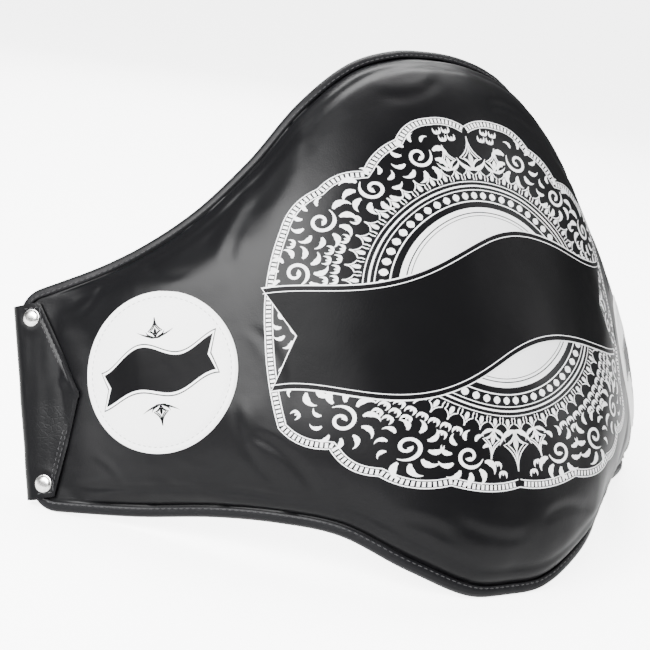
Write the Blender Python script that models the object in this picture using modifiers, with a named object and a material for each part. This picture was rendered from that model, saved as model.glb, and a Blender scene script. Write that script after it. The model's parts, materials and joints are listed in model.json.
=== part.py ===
"""Trainer's belly pad: a bent, padded leather shield with two wings that wrap the body,
a riveted leather wrap at each tip, and an elastic strap that closes behind the back.

The pad is shaped in its own frame (X to the wearer's left, +Y towards the wearer, Z up the
pad) and then leaned back until the lower lobe and both wing tips stand on the floor."""
import math

import bmesh
import bpy
from mathutils import Matrix, Vector

MM = 0.001

# ---- shell outline and bend -------------------------------------------------------------
HALF_WIDTH = 0.343            # middle to tip, measured along the bent shell
TOP_EDGE = ((0.0, 0.210), (0.10, 0.207), (0.22, 0.194), (0.34, 0.165),
            (0.46, 0.124), (0.60, 0.089), (0.78, 0.063), (1.0, 0.046))
LOW_EDGE = ((0.0, -0.210), (0.10, -0.207), (0.22, -0.185), (0.34, -0.157),
            (0.46, -0.1435), (0.60, -0.134), (0.78, -0.127), (1.0, -0.114))
BEND = (0.2, 8.3, 1.9, -0.3, -0.2, 5.9)   # bend per metre at six equal steps, middle to tip
CORNER_RADIUS = 0.018         # rounding of the two tip corners
BOW = 0.0155                  # how far the middle bulges up and down its height
BOW_CENTRE = -0.078           # height where the bulge stands furthest forward
BOW_REACH = 0.21              # height from there at which the bulge is used up
BOW_WIDTH = 0.25              # the bulge fades out this far from the middle

# ---- layers, as heights in front of the shell's middle surface ---------------------------
LINER = 1.2 * MM
BASE_FOAM = 4.0 * MM
COVER = 1.5 * MM
FIT = 0.3 * MM                # clearance between pieces that touch
CORE_FIT = 1.2 * MM           # clearance over the foam core, under the leather
SOFT_FIT = 0.9 * MM           # clearance under trim that lies on the padded leather
LINER_BACK = -4.0 * MM
LINER_FRONT = LINER_BACK + LINER
FOAM_BACK = LINER_FRONT + FIT
FOAM_FRONT = FOAM_BACK + BASE_FOAM
COVER_BACK = FOAM_FRONT + FIT
COVER_FRONT = COVER_BACK + COVER

# ---- padding ------------------------------------------------------------------------------
WING_PAD = 0.028              # height of the padding on the wings
CENTRE_PAD = 0.023            # height of the padding in the middle, on top of the bow
FLAT_MARGIN = 0.009           # unpadded margin under the binding
SHOULDER = 0.075              # width over which the padding rises
TIP_MARGIN = 0.020            # unpadded margin at a wing's tip
TIP_RISE = 0.080
CENTRE_SPAN = 0.107           # middle padding is full up to here
WING_SPAN = 0.247             # and wing padding is full from here
CORE_INSET = 0.020
CORE_TIP_INSET = 0.050

# ---- binding -------------------------------------------------------------------------------
BINDING_WALL = 1.2 * MM
BINDING_LEG = 7.5 * MM
BINDING_NOSE = 3.5 * MM
NOSE_STEPS = 5

# ---- hinge lines and joints ---------------------------------------------------------------
HINGE_AT = 0.142              # along the shell from the middle
HINGE_GAP = 0.4 * MM
STRAP_REST = math.radians(8)       # strap's direction behind the pad, from straight across
TONGUE_REST = math.radians(30)

# ---- trim ------------------------------------------------------------------------------------
PATCH_AT = HALF_WIDTH - 0.113
PATCH_HEIGHT = -0.028
PATCH_RADIUS = 0.0585
PATCH = 1.6 * MM
WRAP = 1.8 * MM
WRAP_HEIGHT = 0.145
WRAP_MIDDLE = -0.034
WRAP_POINT = 0.046            # how far the pointed flap reaches in from the tip
WRAP_SHOULDER = 0.020         # where its slanted edges start
WRAP_BACK = 0.040             # length of the leg behind the wing
FOLD_STEPS = 8
RIVET_INSET = 0.0125
RIVET_SPREAD = 0.124          # between a tip's two rivets
RIVET_CAP_RADIUS = 6.5 * MM
RIVET_CAP_HEIGHT = 2.2 * MM
RIVET_POST_RADIUS = 1.75 * MM
WASHER_RADIUS = 5.0 * MM
WASHER_HEIGHT = 1.4 * MM

# ---- strap, tab and tongue --------------------------------------------------------------------
STRAP_SHEET = 3.0 * MM
ELASTIC = 2.5 * MM
TAPE = 1.5 * MM
STRAP_HEIGHT = 0.088
ELASTIC_LENGTH = 0.200
ELASTIC_START = 0.012
ROOT_LENGTH = 0.040
TAB_LENGTH = 0.100
TAB_HEIGHT = 0.080
TONGUE_LENGTH = 0.105
TONGUE_HEIGHT = 0.078
TAPE_MARGIN = 0.006

# ---- stance and mesh fineness -----------------------------------------------------------------
FOOT_CUT = 0.8 * MM           # leather pressed flat where the pad stands
CENTRE_STEP = 0.0178          # widest spacing of the mesh columns in the middle
WING_STEP = 0.0185            # and on the wings
COLUMN_GAP = 3 * MM           # least room between the last straight column and a corner
CORNER_COLUMNS = 5
COVER_ROWS = 16
FLAT_ROWS = 12


def clear_scene():
    for obj in list(bpy.data.objects):
        bpy.data.objects.remove(obj)


def new_collection(name):
    collection = bpy.data.collections.new(name)
    bpy.context.scene.collection.children.link(collection)
    return collection


def finish(name, colour, roughness, metallic=0.0):
    material = bpy.data.materials.new(name)
    material.use_nodes = True
    shader = material.node_tree.nodes["Principled BSDF"]
    shader.inputs["Base Color"].default_value = (*colour, 1.0)
    shader.inputs["Roughness"].default_value = roughness
    shader.inputs["Metallic"].default_value = metallic
    return material


def even(count):
    return [k / count for k in range(count + 1)]


# ---- shape of the shell ------------------------------------------------------------------------

def smooth_curve(knots):
    """Cubic through the knots, level at the first one and using neighbour slopes elsewhere."""
    xs = [k[0] * HALF_WIDTH for k in knots]
    ys = [k[1] for k in knots]
    last = len(xs) - 1
    slopes = [0.0]
    slopes += [(ys[i + 1] - ys[i - 1]) / (xs[i + 1] - xs[i - 1]) for i in range(1, last)]
    slopes.append((ys[last] - ys[last - 1]) / (xs[last] - xs[last - 1]))

    def value(u):
        u = min(abs(u), xs[last])
        i = max(k for k in range(last) if xs[k] <= u)
        width = xs[i + 1] - xs[i]
        t = (u - xs[i]) / width
        rise = ys[i + 1] - ys[i]
        a = slopes[i] * width - rise
        b = rise - slopes[i + 1] * width
        return ys[i] + rise * t + t * (1 - t) * (a * (1 - t) + b * t)

    return value


top_edge = smooth_curve(TOP_EDGE)
low_edge = smooth_curve(LOW_EDGE)


def bend_at(u):
    share = u / HALF_WIDTH * (len(BEND) - 1)
    i = min(int(share), len(BEND) - 2)
    return BEND[i] + (BEND[i + 1] - BEND[i]) * (share - i)


def slant(curve, u):
    """How much longer a step up to the edge is than the shortest way to it."""
    probe = 1 * MM
    slope = (curve(abs(u) + probe) - curve(abs(u) - probe)) / (2 * probe)
    return math.sqrt(1 + slope * slope)


def build_plan(steps=400):
    """Point and heading along the shell seen from above, from the middle out to a tip."""
    step = HALF_WIDTH / steps
    x, y, heading = 0.0, 0.0, 0.0
    points = [(x, y, heading)]
    for k in range(steps):
        turn = bend_at((k + 0.5) * step) * step
        x += math.cos(heading + turn / 2) * step
        y += math.sin(heading + turn / 2) * step
        heading += turn
        points.append((x, y, heading))
    return points


PLAN = build_plan()


def plan(u):
    """Plan point and heading at a signed distance u; the line runs on straight past a tip."""
    side = -1.0 if u < 0 else 1.0
    share = min(abs(u), HALF_WIDTH) / HALF_WIDTH * (len(PLAN) - 1)
    i = min(int(share), len(PLAN) - 2)
    x, y, heading = (a + (b - a) * (share - i) for a, b in zip(PLAN[i], PLAN[i + 1]))
    past = max(abs(u) - HALF_WIDTH, 0.0)
    x += math.cos(heading) * past
    y += math.sin(heading) * past
    return side * x, y, side * heading


def bow(u, height):
    fade = max(1 - (u / BOW_WIDTH) ** 2, 0.0)
    return BOW * (1 - ((height - BOW_CENTRE) / BOW_REACH) ** 2) * fade


def shell_point(u, height, offset):
    """Point at a distance u along the shell, a height on it, and an offset in front of it."""
    x, y, heading = plan(u)
    out = offset + bow(u, height)
    return Vector((x + math.sin(heading) * out, y - math.cos(heading) * out, height))


class Outline:
    """Edge of a sheet that stops a given inset inside the pad's own edge."""

    def __init__(self, inset, tip_inset=None):
        self.inset = inset
        self.tip = HALF_WIDTH - (inset if tip_inset is None else tip_inset)
        self.radius = max(CORNER_RADIUS - inset, 4 * MM)

    def edge(self, curve, u, sign):
        u = abs(u)
        height = curve(u) - sign * self.inset * slant(curve, u)
        past = min(max(u - (self.tip - self.radius), 0.0), self.radius)
        return height - sign * (self.radius - math.sqrt(self.radius ** 2 - past ** 2))

    def top(self, u):
        return self.edge(top_edge, u, 1)

    def low(self, u):
        return self.edge(low_edge, u, -1)

    def wing_columns(self, start):
        """Every layer of a wing shares its straight columns, so that their facets stay level."""
        reach = HALF_WIDTH - CORNER_RADIUS - start
        corner = self.tip - self.radius
        shared = [start + reach * share for share in even(math.ceil(reach / WING_STEP))]
        straight = [u for u in shared if u < corner - COLUMN_GAP]
        turns = [math.sin(k / CORNER_COLUMNS * math.pi / 2) for k in range(CORNER_COLUMNS + 1)]
        return straight + [corner + self.radius * turn for turn in turns]


RIM = Outline(0.0)
SHEET = Outline(BINDING_NOSE + 2 * FIT)
CORE = Outline(CORE_INSET, CORE_TIP_INSET)


def rise(distance, margin, width):
    share = min(max((distance - margin) / width, 0.0), 1.0)
    return math.sqrt(1 - (1 - share) ** 2)


def ease(share):
    share = min(max(share, 0.0), 1.0)
    return share * share * (3 - 2 * share)


def pad_height(u, height):
    """Height of the padding over the flat margin."""
    middle = ease((WING_SPAN - abs(u)) / (WING_SPAN - CENTRE_SPAN))
    full = WING_PAD + (CENTRE_PAD - WING_PAD) * middle
    over = rise((top_edge(u) - height) / slant(top_edge, u), FLAT_MARGIN, SHOULDER)
    under = rise((height - low_edge(u)) / slant(low_edge, u), FLAT_MARGIN, SHOULDER)
    return full * over * under * ease((HALF_WIDTH - abs(u) - TIP_MARGIN) / TIP_RISE)


def cover_front(u, height):
    return COVER_FRONT + pad_height(u, height)


def cover_back(u, height):
    return COVER_BACK + pad_height(u, height)


def core_front(u, height):
    return cover_back(u, height) - CORE_FIT


# ---- making solids --------------------------------------------------------------------------------

def add_mesh(name, bm, material, parent, collection):
    """Turns a mesh in the pad's frame into an object whose origin is its parent's."""
    bmesh.ops.recalc_face_normals(bm, faces=bm.faces)
    mesh = bpy.data.meshes.new(name)
    bm.to_mesh(mesh)
    bm.free()
    mesh.transform(Matrix.Translation(-Vector(parent["pad_point"])))
    mesh.materials.append(material)
    mesh.shade_smooth()
    mesh.set_sharp_from_angle(angle=math.radians(40))
    obj = bpy.data.objects.new(name, mesh)
    obj.parent = parent
    collection.objects.link(obj)
    return obj


def lattice_solid(columns, rows, back_point, front_point):
    """Closed solid between two surfaces, each a function of a column and a row."""
    bm = bmesh.new()
    bmesh.ops.create_grid(bm, x_segments=len(columns) - 1, y_segments=len(rows) - 1, size=0.5)
    lifted = bmesh.ops.extrude_face_region(bm, geom=bm.faces[:], use_keep_orig=True)
    front = {item for item in lifted["geom"] if isinstance(item, bmesh.types.BMVert)}
    for vert in bm.verts:
        column = columns[round((vert.co.x + 0.5) * (len(columns) - 1))]
        row = rows[round((vert.co.y + 0.5) * (len(rows) - 1))]
        vert.co = (front_point if vert in front else back_point)(column, row)
    return bm


def edge_heavy(count):
    """Rows from 0 to 1, closer together near both ends."""
    return [(1 - math.cos(math.pi * k / count)) / 2 for k in range(count + 1)]


def shell_sheet(name, columns, rows, outline, back, front, material, parent, collection,
                margin=0.0):
    """A layer of the pad between two offset functions. Rows outside 0 to 1 are its edges,
    and a margin's width lies between each of them and the rows inside."""
    def on(offset):
        def point(u, share):
            low, top = outline.low(u), outline.top(u)
            if 0 <= share <= 1:
                low += margin * slant(low_edge, u)
                top -= margin * slant(top_edge, u)
            height = low + (top - low) * min(max(share, 0.0), 1.0)
            return shell_point(u, height, offset(u, height))
        return point

    bm = lattice_solid(columns, rows, on(back), on(front))
    return add_mesh(name, bm, material, parent, collection)


def level(value):
    return lambda u, height: value


def binding_profile():
    """C-shaped section: distance out from the edge, and offset in front of the shell."""
    top = COVER_FRONT + FIT + BINDING_WALL
    bottom = LINER_BACK - FIT - BINDING_WALL
    middle, half = (top + bottom) / 2, (top - bottom) / 2
    nose = [(-BINDING_NOSE * (1 - math.sin(a)), middle + half * math.cos(a))
            for a in (math.pi * k / NOSE_STEPS for k in range(NOSE_STEPS + 1))]
    slot = half - BINDING_WALL
    inside = [(-BINDING_LEG, middle - slot), (-BINDING_NOSE, middle - slot),
              (-BINDING_NOSE, middle + slot), (-BINDING_LEG, middle + slot)]
    return [(-BINDING_LEG, top)] + nose + [(-BINDING_LEG, bottom)] + inside


def binding(name, route, material, parent, collection):
    """Sweeps the binding's section along a route of (u, height) points on the edge."""
    section = binding_profile()
    bm = bmesh.new()
    rings = []
    for k, (u, height) in enumerate(route):
        before, after = route[max(k - 1, 0)], route[min(k + 1, len(route) - 1)]
        along = Vector((after[0] - before[0], after[1] - before[1])).normalized()
        if k == 0 or k == len(route) - 1:
            along = Vector((math.copysign(1.0, along.x), 0.0))
        out = Vector((-along.y, along.x))
        rings.append([bm.verts.new(shell_point(u + out.x * n, height + out.y * n, offset))
                      for n, offset in section])
    for ring, following in zip(rings, rings[1:]):
        for k in range(len(section)):
            j = (k + 1) % len(section)
            bm.faces.new((ring[k], ring[j], following[j], following[k]))
    bm.faces.new(rings[0])
    bm.faces.new(rings[-1])
    return add_mesh(name, bm, material, parent, collection)


def wing_route(side, start):
    """Round a wing from the hinge line: out along one edge, down the tip, back on the other."""
    columns = RIM.wing_columns(start)
    tip_low, tip_top = RIM.low(RIM.tip), RIM.top(RIM.tip)
    tip = [(RIM.tip, tip_top + (tip_low - tip_top) * share) for share in even(6)[1:-1]]
    top = [(u, RIM.top(u)) for u in columns]
    low = [(u, RIM.low(u)) for u in reversed(columns)]
    route = [(side * u, height) for u, height in top + tip + low]
    return route if side > 0 else route[::-1]


def disc_solid(centre_u, centre_height, radius, back, front, count=10):
    """Round sheet lying on the shell; a square lattice is eased out to a circle."""
    stations = [2 * share - 1 for share in even(count)]

    def on(offset):
        def point(a, b):
            u = centre_u + radius * a * math.sqrt(1 - b * b / 2)
            height = centre_height + radius * b * math.sqrt(1 - a * a / 2)
            return shell_point(u, height, offset(u, height))
        return point

    return lattice_solid(stations, stations, on(back), on(front))


# ---- tip wrap --------------------------------------------------------------------------------------

BINDING_FRONT = COVER_FRONT + FIT + BINDING_WALL
BINDING_BACK = LINER_BACK - FIT - BINDING_WALL
FLAP_BACK = BINDING_FRONT + FIT
LEG_FRONT = BINDING_BACK - FIT
FOLD_MIDDLE = (FLAP_BACK + LEG_FRONT) / 2
FOLD_RADIUS = (FLAP_BACK - LEG_FRONT) / 2
FOLD_AT = HALF_WIDTH - 3 * MM


def wrap_stations():
    """Path of the wrap: along the pointed flap, round the tip, and back behind the wing."""
    point = HALF_WIDTH - WRAP_POINT
    shoulder = HALF_WIDTH - WRAP_SHOULDER
    flap = [("flap", point + (shoulder - point) * share) for share in even(5)]
    flap += [("flap", shoulder + (FOLD_AT - shoulder) * share) for share in even(3)[1:]]
    fold = [("fold", math.pi * k / FOLD_STEPS) for k in range(1, FOLD_STEPS)]
    end = FOLD_AT - WRAP_BACK
    leg = [("leg", FOLD_AT + (end - FOLD_AT) * share) for share in even(4)]
    return flap + fold + leg


def wrap_point(side, station, share, thickness):
    kind, where = station
    half = WRAP_HEIGHT / 2
    if kind == "flap":
        reach = (where - (HALF_WIDTH - WRAP_POINT)) / (WRAP_POINT - WRAP_SHOULDER)
        half *= max(min(reach, 1.0), 0.03)
    height = WRAP_MIDDLE + half * (2 * share - 1)
    if kind == "flap":
        base = max(cover_front(where, height) + SOFT_FIT, FLAP_BACK)
        return shell_point(side * where, height, base + thickness)
    if kind == "leg":
        return shell_point(side * where, height, LEG_FRONT - thickness)
    radius = FOLD_RADIUS + thickness
    return shell_point(side * (FOLD_AT + radius * math.sin(where)), height,
                       FOLD_MIDDLE + radius * math.cos(where))


# ---- rivets -----------------------------------------------------------------------------------------

def turned(name, profile, material, parent, collection, steps=16):
    """Turned solid from a half profile of (radius, height) points, top to bottom."""
    bm = bmesh.new()
    verts = [bm.verts.new((radius, 0.0, height)) for radius, height in profile]
    for a, b in zip(verts, verts[1:]):
        bm.edges.new((a, b))
    mesh = bpy.data.meshes.new(name)
    bm.to_mesh(mesh)
    bm.free()
    mesh.materials.append(material)
    obj = bpy.data.objects.new(name, mesh)
    screw = obj.modifiers.new("turn", "SCREW")
    screw.steps = steps
    screw.render_steps = steps
    screw.use_merge_vertices = True
    screw.merge_threshold = 0.00001
    obj.parent = parent
    collection.objects.link(obj)
    return obj


def stand_on_shell(obj, u, height, offset):
    """Turns an object so that its Z axis leaves the shell at a point on it."""
    x, y, heading = plan(u)
    outward = Vector((math.sin(heading), -math.cos(heading), 0.0))
    across = Vector((0.0, 0.0, 1.0)).cross(outward)
    turn = Matrix((across, Vector((0.0, 0.0, 1.0)), outward)).transposed()
    if turn.determinant() < 0:
        turn = Matrix((-across, Vector((0.0, 0.0, 1.0)), outward)).transposed()
    place = shell_point(u, height, offset) - Vector(obj.parent["pad_point"])
    obj.matrix_local = Matrix.Translation(place) @ turn.to_4x4()


def rivet_profile(length):
    """Domed cap with its underside at zero and a post below it."""
    dome = [(RIVET_CAP_RADIUS * math.sin(a), RIVET_CAP_HEIGHT * (0.35 + 0.65 * math.cos(a)))
            for a in (math.pi / 2 * k / 5 for k in range(6))]
    return dome + [(RIVET_CAP_RADIUS, 0.0), (RIVET_POST_RADIUS, 0.0),
                   (RIVET_POST_RADIUS, -length), (0.0, -length)]


def washer_profile(bore):
    rim = 0.5 * MM
    return [(bore, 0.0), (WASHER_RADIUS, 0.0), (WASHER_RADIUS, -WASHER_HEIGHT + rim),
            (WASHER_RADIUS - rim, -WASHER_HEIGHT), (bore, -WASHER_HEIGHT), (bore, 0.0)]


def cut(target, cutter):
    modifier = target.modifiers.new("cut_" + cutter.name, "BOOLEAN")
    modifier.operation = "DIFFERENCE"
    modifier.object = cutter


def cutter_look(obj):
    obj.hide_render = True
    obj.display_type = "WIRE"


# ---- strap, tab and tongue: flat boxes along a direction ---------------------------------------------

def band(name, start, length, low, thickness, height, direction, material, parent, collection):
    """Flat strip leaving its pivot along a direction; low is its inner face's distance out."""
    along = Vector((math.cos(direction), math.sin(direction), 0.0))
    outer = Vector((0.0, 0.0, 1.0)).cross(along)
    if outer.y < 0:
        outer = -outer
    middle = along * (start + length / 2) + outer * (low + thickness / 2)
    bm = bmesh.new()
    bmesh.ops.create_cube(bm, size=1.0)
    bmesh.ops.scale(bm, vec=(length, thickness, height), verts=bm.verts)
    bmesh.ops.rotate(bm, cent=(0, 0, 0), verts=bm.verts,
                     matrix=Matrix.Rotation(direction, 3, "Z"))
    bmesh.ops.translate(bm, vec=middle + Vector(parent["pad_point"])
                        + Vector((0, 0, WRAP_MIDDLE)), verts=bm.verts)
    obj = add_mesh(name, bm, material, parent, collection)
    bevel = obj.modifiers.new("rounded", "BEVEL")
    bevel.width = min(thickness * 0.3, 0.8 * MM)
    bevel.segments = 1
    bevel.limit_method = "ANGLE"
    return obj


# ---- stance ---------------------------------------------------------------------------------------------

def stance():
    """Lean at which the lobe and both tips touch the floor, and how low they then reach."""
    half = (BINDING_FRONT - BINDING_BACK) / 2
    middle = (BINDING_FRONT + BINDING_BACK) / 2
    steps = 120
    edge = [HALF_WIDTH * k / steps for k in range(steps + 1)]
    core = [shell_point(u, RIM.low(u) + BINDING_NOSE, middle) for u in edge]

    def lowest(points, lean):
        down = Vector((0.0, math.sin(lean), -math.cos(lean)))
        reach = math.hypot(half * math.sin(lean), BINDING_NOSE * math.cos(lean))
        return -max(p.dot(down) for p in points) - reach

    lobe = [p for p, u in zip(core, edge) if u < HINGE_AT]
    tip = [p for p, u in zip(core, edge) if u >= HINGE_AT]
    small, large = math.radians(5), math.radians(60)
    for _ in range(40):
        lean = (small + large) / 2
        if lowest(lobe, lean) < lowest(tip, lean):
            small = lean
        else:
            large = lean
    return lean, lowest(lobe, lean)


def frame_empty(name, point, parent, collection):
    """Empty on a joint's axis, at a point of the pad's own frame."""
    empty = bpy.data.objects.new(name, None)
    empty["pad_point"] = tuple(point)
    empty.parent = parent
    empty.location = Vector(point) - (Vector(parent["pad_point"]) if parent else Vector())
    collection.objects.link(empty)
    return empty


def centre_on_floor(stand, collection):
    """Puts the middle of the part's box over the origin and its feet on the floor."""
    bpy.context.view_layer.update()
    graph = bpy.context.evaluated_depsgraph_get()
    points = []
    for obj in collection.objects:
        if obj.type == "MESH":
            solid = obj.evaluated_get(graph)
            points += [solid.matrix_world @ vert.co for vert in solid.data.vertices]
    for axis in (0, 1):
        values = [p[axis] for p in points]
        stand.location[axis] -= (min(values) + max(values)) / 2
    stand.location.z -= min(p.z for p in points)
    bpy.context.view_layer.update()


def main():
    clear_scene()
    parts = new_collection("belly_pad")
    cutters = new_collection("cutters")
    leather = finish("black_leather", (0.022, 0.022, 0.024), 0.42)
    lining = finish("black_lining", (0.030, 0.030, 0.032), 0.85)
    foam = finish("foam", (0.36, 0.36, 0.34), 0.95)
    white = finish("white_leather", (0.86, 0.86, 0.85), 0.45)
    nickel = finish("nickel", (0.72, 0.71, 0.69), 0.28, 1.0)
    webbing = finish("elastic_webbing", (0.025, 0.025, 0.028), 0.9)
    tape = finish("hook_and_loop", (0.03, 0.03, 0.032), 1.0)

    lean, foot = stance()
    stand = frame_empty("stand", (0, 0, 0), None, parts)
    stand.rotation_euler.x = -lean
    stand.location.z = -foot

    # Middle body: every layer stops half a gap short of the hinge lines.
    reach = HINGE_AT - HINGE_GAP / 2
    middle_columns = [reach * (2 * share - 1) for share in even(math.ceil(2 * reach / CENTRE_STEP))]
    rows = [-1.0] + edge_heavy(COVER_ROWS) + [2.0]
    margin = FLAT_MARGIN - SHEET.inset
    shell_sheet("front_cover_centre", middle_columns, rows, SHEET, cover_back, cover_front,
                leather, stand, parts, margin)
    shell_sheet("strike_pad_core", middle_columns, edge_heavy(COVER_ROWS - 4), CORE,
                level(FOAM_FRONT + FIT), core_front, foam, stand, parts)
    shell_sheet("base_foam_centre", middle_columns, even(FLAT_ROWS), SHEET,
                level(FOAM_BACK), level(FOAM_FRONT), foam, stand, parts)
    shell_sheet("back_liner_centre", middle_columns, even(FLAT_ROWS), SHEET,
                level(LINER_BACK), level(LINER_FRONT), lining, stand, parts)
    top_route = [(u, RIM.top(u)) for u in middle_columns]
    low_route = [(u, RIM.low(u)) for u in reversed(middle_columns)]
    binding("binding_top_centre", top_route, leather, stand, parts)
    feet = [binding("binding_bottom_centre", low_route, leather, stand, parts)]

    # Hinge lines lie behind everything that meets at them, so a wing only ever opens a gap.
    deepest = min(bow(HINGE_AT, top_edge(HINGE_AT)), bow(HINGE_AT, low_edge(HINGE_AT)))
    hinge_offset = BINDING_BACK - FIT - bow(HINGE_AT, 0.0) + deepest
    wings = {}
    for side, word in ((-1, "left"), (1, "right")):
        hinge = frame_empty(word + "_wing_hinge", shell_point(side * HINGE_AT, 0.0, hinge_offset),
                            stand, parts)
        wings[word] = hinge
        start = HINGE_AT + HINGE_GAP / 2
        columns = [side * u for u in SHEET.wing_columns(start)]
        core_columns = [side * u for u in CORE.wing_columns(start)]
        cover = shell_sheet(word + "_wing_cover", columns, rows, SHEET, cover_back, cover_front,
                            leather, hinge, parts, margin)
        shell_sheet(word + "_wing_core", core_columns, edge_heavy(COVER_ROWS - 6), CORE,
                    level(FOAM_FRONT + FIT), core_front, foam, hinge, parts)
        base = shell_sheet(word + "_wing_base_foam", columns, even(FLAT_ROWS), SHEET,
                           level(FOAM_BACK), level(FOAM_FRONT), foam, hinge, parts)
        liner = shell_sheet(word + "_wing_liner", columns, even(FLAT_ROWS), SHEET,
                            level(LINER_BACK), level(LINER_FRONT), lining, hinge, parts)
        feet.append(binding(word + "_wing_binding", wing_route(side, start), leather, hinge, parts))

        disc = disc_solid(side * PATCH_AT, PATCH_HEIGHT, PATCH_RADIUS,
                          lambda u, h: cover_front(u, h) + SOFT_FIT,
                          lambda u, h: cover_front(u, h) + SOFT_FIT + PATCH)
        add_mesh(word + "_round_patch", disc, white, hinge, parts)

        stations = wrap_stations()
        bm = lattice_solid(list(range(len(stations))), even(6),
                           lambda k, share: wrap_point(side, stations[k], share, 0.0),
                           lambda k, share: wrap_point(side, stations[k], share, WRAP))
        wrap = add_mesh(word + "_tip_wrap", bm, leather, hinge, parts)

        rivet_at = side * (HALF_WIDTH - RIVET_INSET)
        under_cap = FLAP_BACK + WRAP + FIT
        behind_leg = LEG_FRONT - WRAP - FIT
        post = under_cap - behind_leg + WASHER_HEIGHT - 0.2 * MM
        hole = RIVET_POST_RADIUS + FIT
        for sign, place in ((1, "upper"), (-1, "lower")):
            height = WRAP_MIDDLE + sign * RIVET_SPREAD / 2
            rivet = turned(f"{word}_{place}_rivet", rivet_profile(post), nickel, hinge, parts)
            stand_on_shell(rivet, rivet_at, height, under_cap)
            washer = turned(f"{word}_{place}_rivet_washer", washer_profile(hole), nickel, hinge,
                            parts)
            stand_on_shell(washer, rivet_at, height, behind_leg)
            drill = turned(f"{word}_{place}_rivet_hole",
                           [(0.0, 0.02), (hole, 0.02), (hole, -0.04), (0.0, -0.04)],
                           nickel, hinge, cutters)
            stand_on_shell(drill, rivet_at, height, under_cap)
            cutter_look(drill)
            for layer in (cover, base, liner, wrap):
                cut(layer, drill)

    # Strap and tongue pivots stand behind the wraps' rear legs.
    pivot_offset = LEG_FRONT - WRAP - 0.5 * MM - STRAP_SHEET / 2
    pivot_u = HALF_WIDTH - 4 * MM
    strap = frame_empty("strap_pivot", shell_point(-pivot_u, 0.0, pivot_offset), wings["left"],
                        parts)
    half_sheet = STRAP_SHEET / 2
    band("strap_root", -half_sheet, ROOT_LENGTH, -half_sheet, STRAP_SHEET, STRAP_HEIGHT,
         STRAP_REST, leather, strap, parts)
    band("elastic_strap", ELASTIC_START, ELASTIC_LENGTH, half_sheet + FIT, ELASTIC, STRAP_HEIGHT,
         STRAP_REST, webbing, strap, parts)

    tab_reach = ELASTIC_START + ELASTIC_LENGTH + 1.2 * MM + ELASTIC / 2
    along = Vector((math.cos(STRAP_REST), math.sin(STRAP_REST), 0.0))
    outward = Vector((-math.sin(STRAP_REST), math.cos(STRAP_REST), 0.0))
    tab_point = (Vector(strap["pad_point"]) + along * tab_reach
                 + outward * (half_sheet + FIT + ELASTIC / 2))
    tab = frame_empty("tab_pivot", tab_point, strap, parts)
    band("closing_tab", -ELASTIC / 2, TAB_LENGTH, -ELASTIC / 2, ELASTIC, TAB_HEIGHT, STRAP_REST,
         leather, tab, parts)
    band("tab_hook_tape", TAPE_MARGIN, TAB_LENGTH - 3 * TAPE_MARGIN, -ELASTIC / 2 - FIT - TAPE,
         TAPE, TAB_HEIGHT - 2 * TAPE_MARGIN, STRAP_REST, tape, tab, parts)

    tongue = frame_empty("tongue_pivot", shell_point(pivot_u, 0.0, pivot_offset), wings["right"],
                         parts)
    band("closing_tongue", -half_sheet, TONGUE_LENGTH, -half_sheet, STRAP_SHEET, TONGUE_HEIGHT,
         math.pi - TONGUE_REST, leather, tongue, parts)
    band("tongue_loop_tape", 2 * TAPE_MARGIN, TONGUE_LENGTH - 4 * TAPE_MARGIN, half_sheet + FIT,
         TAPE, TONGUE_HEIGHT - 2 * TAPE_MARGIN, math.pi - TONGUE_REST, tape, tongue, parts)

    # The feet are pressed flat by the floor, a little above their lowest points.
    bpy.context.view_layer.update()
    bpy.ops.mesh.primitive_cube_add(size=1.0, location=(0, 0, FOOT_CUT - 0.5))
    floor = bpy.context.object
    floor.name = "floor_flat"
    floor.scale = (2.0, 2.0, 1.0)
    bpy.context.collection.objects.unlink(floor)
    cutters.objects.link(floor)
    cutter_look(floor)
    floor.parent = stand
    floor.matrix_parent_inverse = stand.matrix_world.inverted()
    for foot_piece in feet:
        cut(foot_piece, floor)
    centre_on_floor(stand, parts)


main()
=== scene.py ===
"""Looks of the trainer's belly pad: glossy black leather over foam, a printed white
medallion, white round patches, riveted tip wraps, edge binding and an elastic strap."""
import json
import math

import bmesh
import bpy
import numpy as np
from mathutils import Matrix, Vector


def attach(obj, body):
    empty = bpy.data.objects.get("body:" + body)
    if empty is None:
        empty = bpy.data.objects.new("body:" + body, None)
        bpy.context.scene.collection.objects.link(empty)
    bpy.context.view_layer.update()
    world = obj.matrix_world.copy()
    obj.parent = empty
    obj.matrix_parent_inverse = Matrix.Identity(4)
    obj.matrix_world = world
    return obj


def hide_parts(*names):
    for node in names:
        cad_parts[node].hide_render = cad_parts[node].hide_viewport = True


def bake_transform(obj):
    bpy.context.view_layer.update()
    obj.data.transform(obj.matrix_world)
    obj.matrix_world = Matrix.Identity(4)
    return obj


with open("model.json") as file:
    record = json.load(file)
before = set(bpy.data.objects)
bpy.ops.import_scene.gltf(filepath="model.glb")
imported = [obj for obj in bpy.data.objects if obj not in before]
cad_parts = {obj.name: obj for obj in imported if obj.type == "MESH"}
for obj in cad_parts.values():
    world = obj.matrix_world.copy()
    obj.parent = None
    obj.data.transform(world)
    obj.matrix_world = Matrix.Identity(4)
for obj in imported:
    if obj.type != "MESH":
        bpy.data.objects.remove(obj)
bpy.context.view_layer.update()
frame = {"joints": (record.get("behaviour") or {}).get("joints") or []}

MM = 0.001
TAU = 2 * math.pi
SIDES = ((-1, "left"), (1, "right"))

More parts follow.
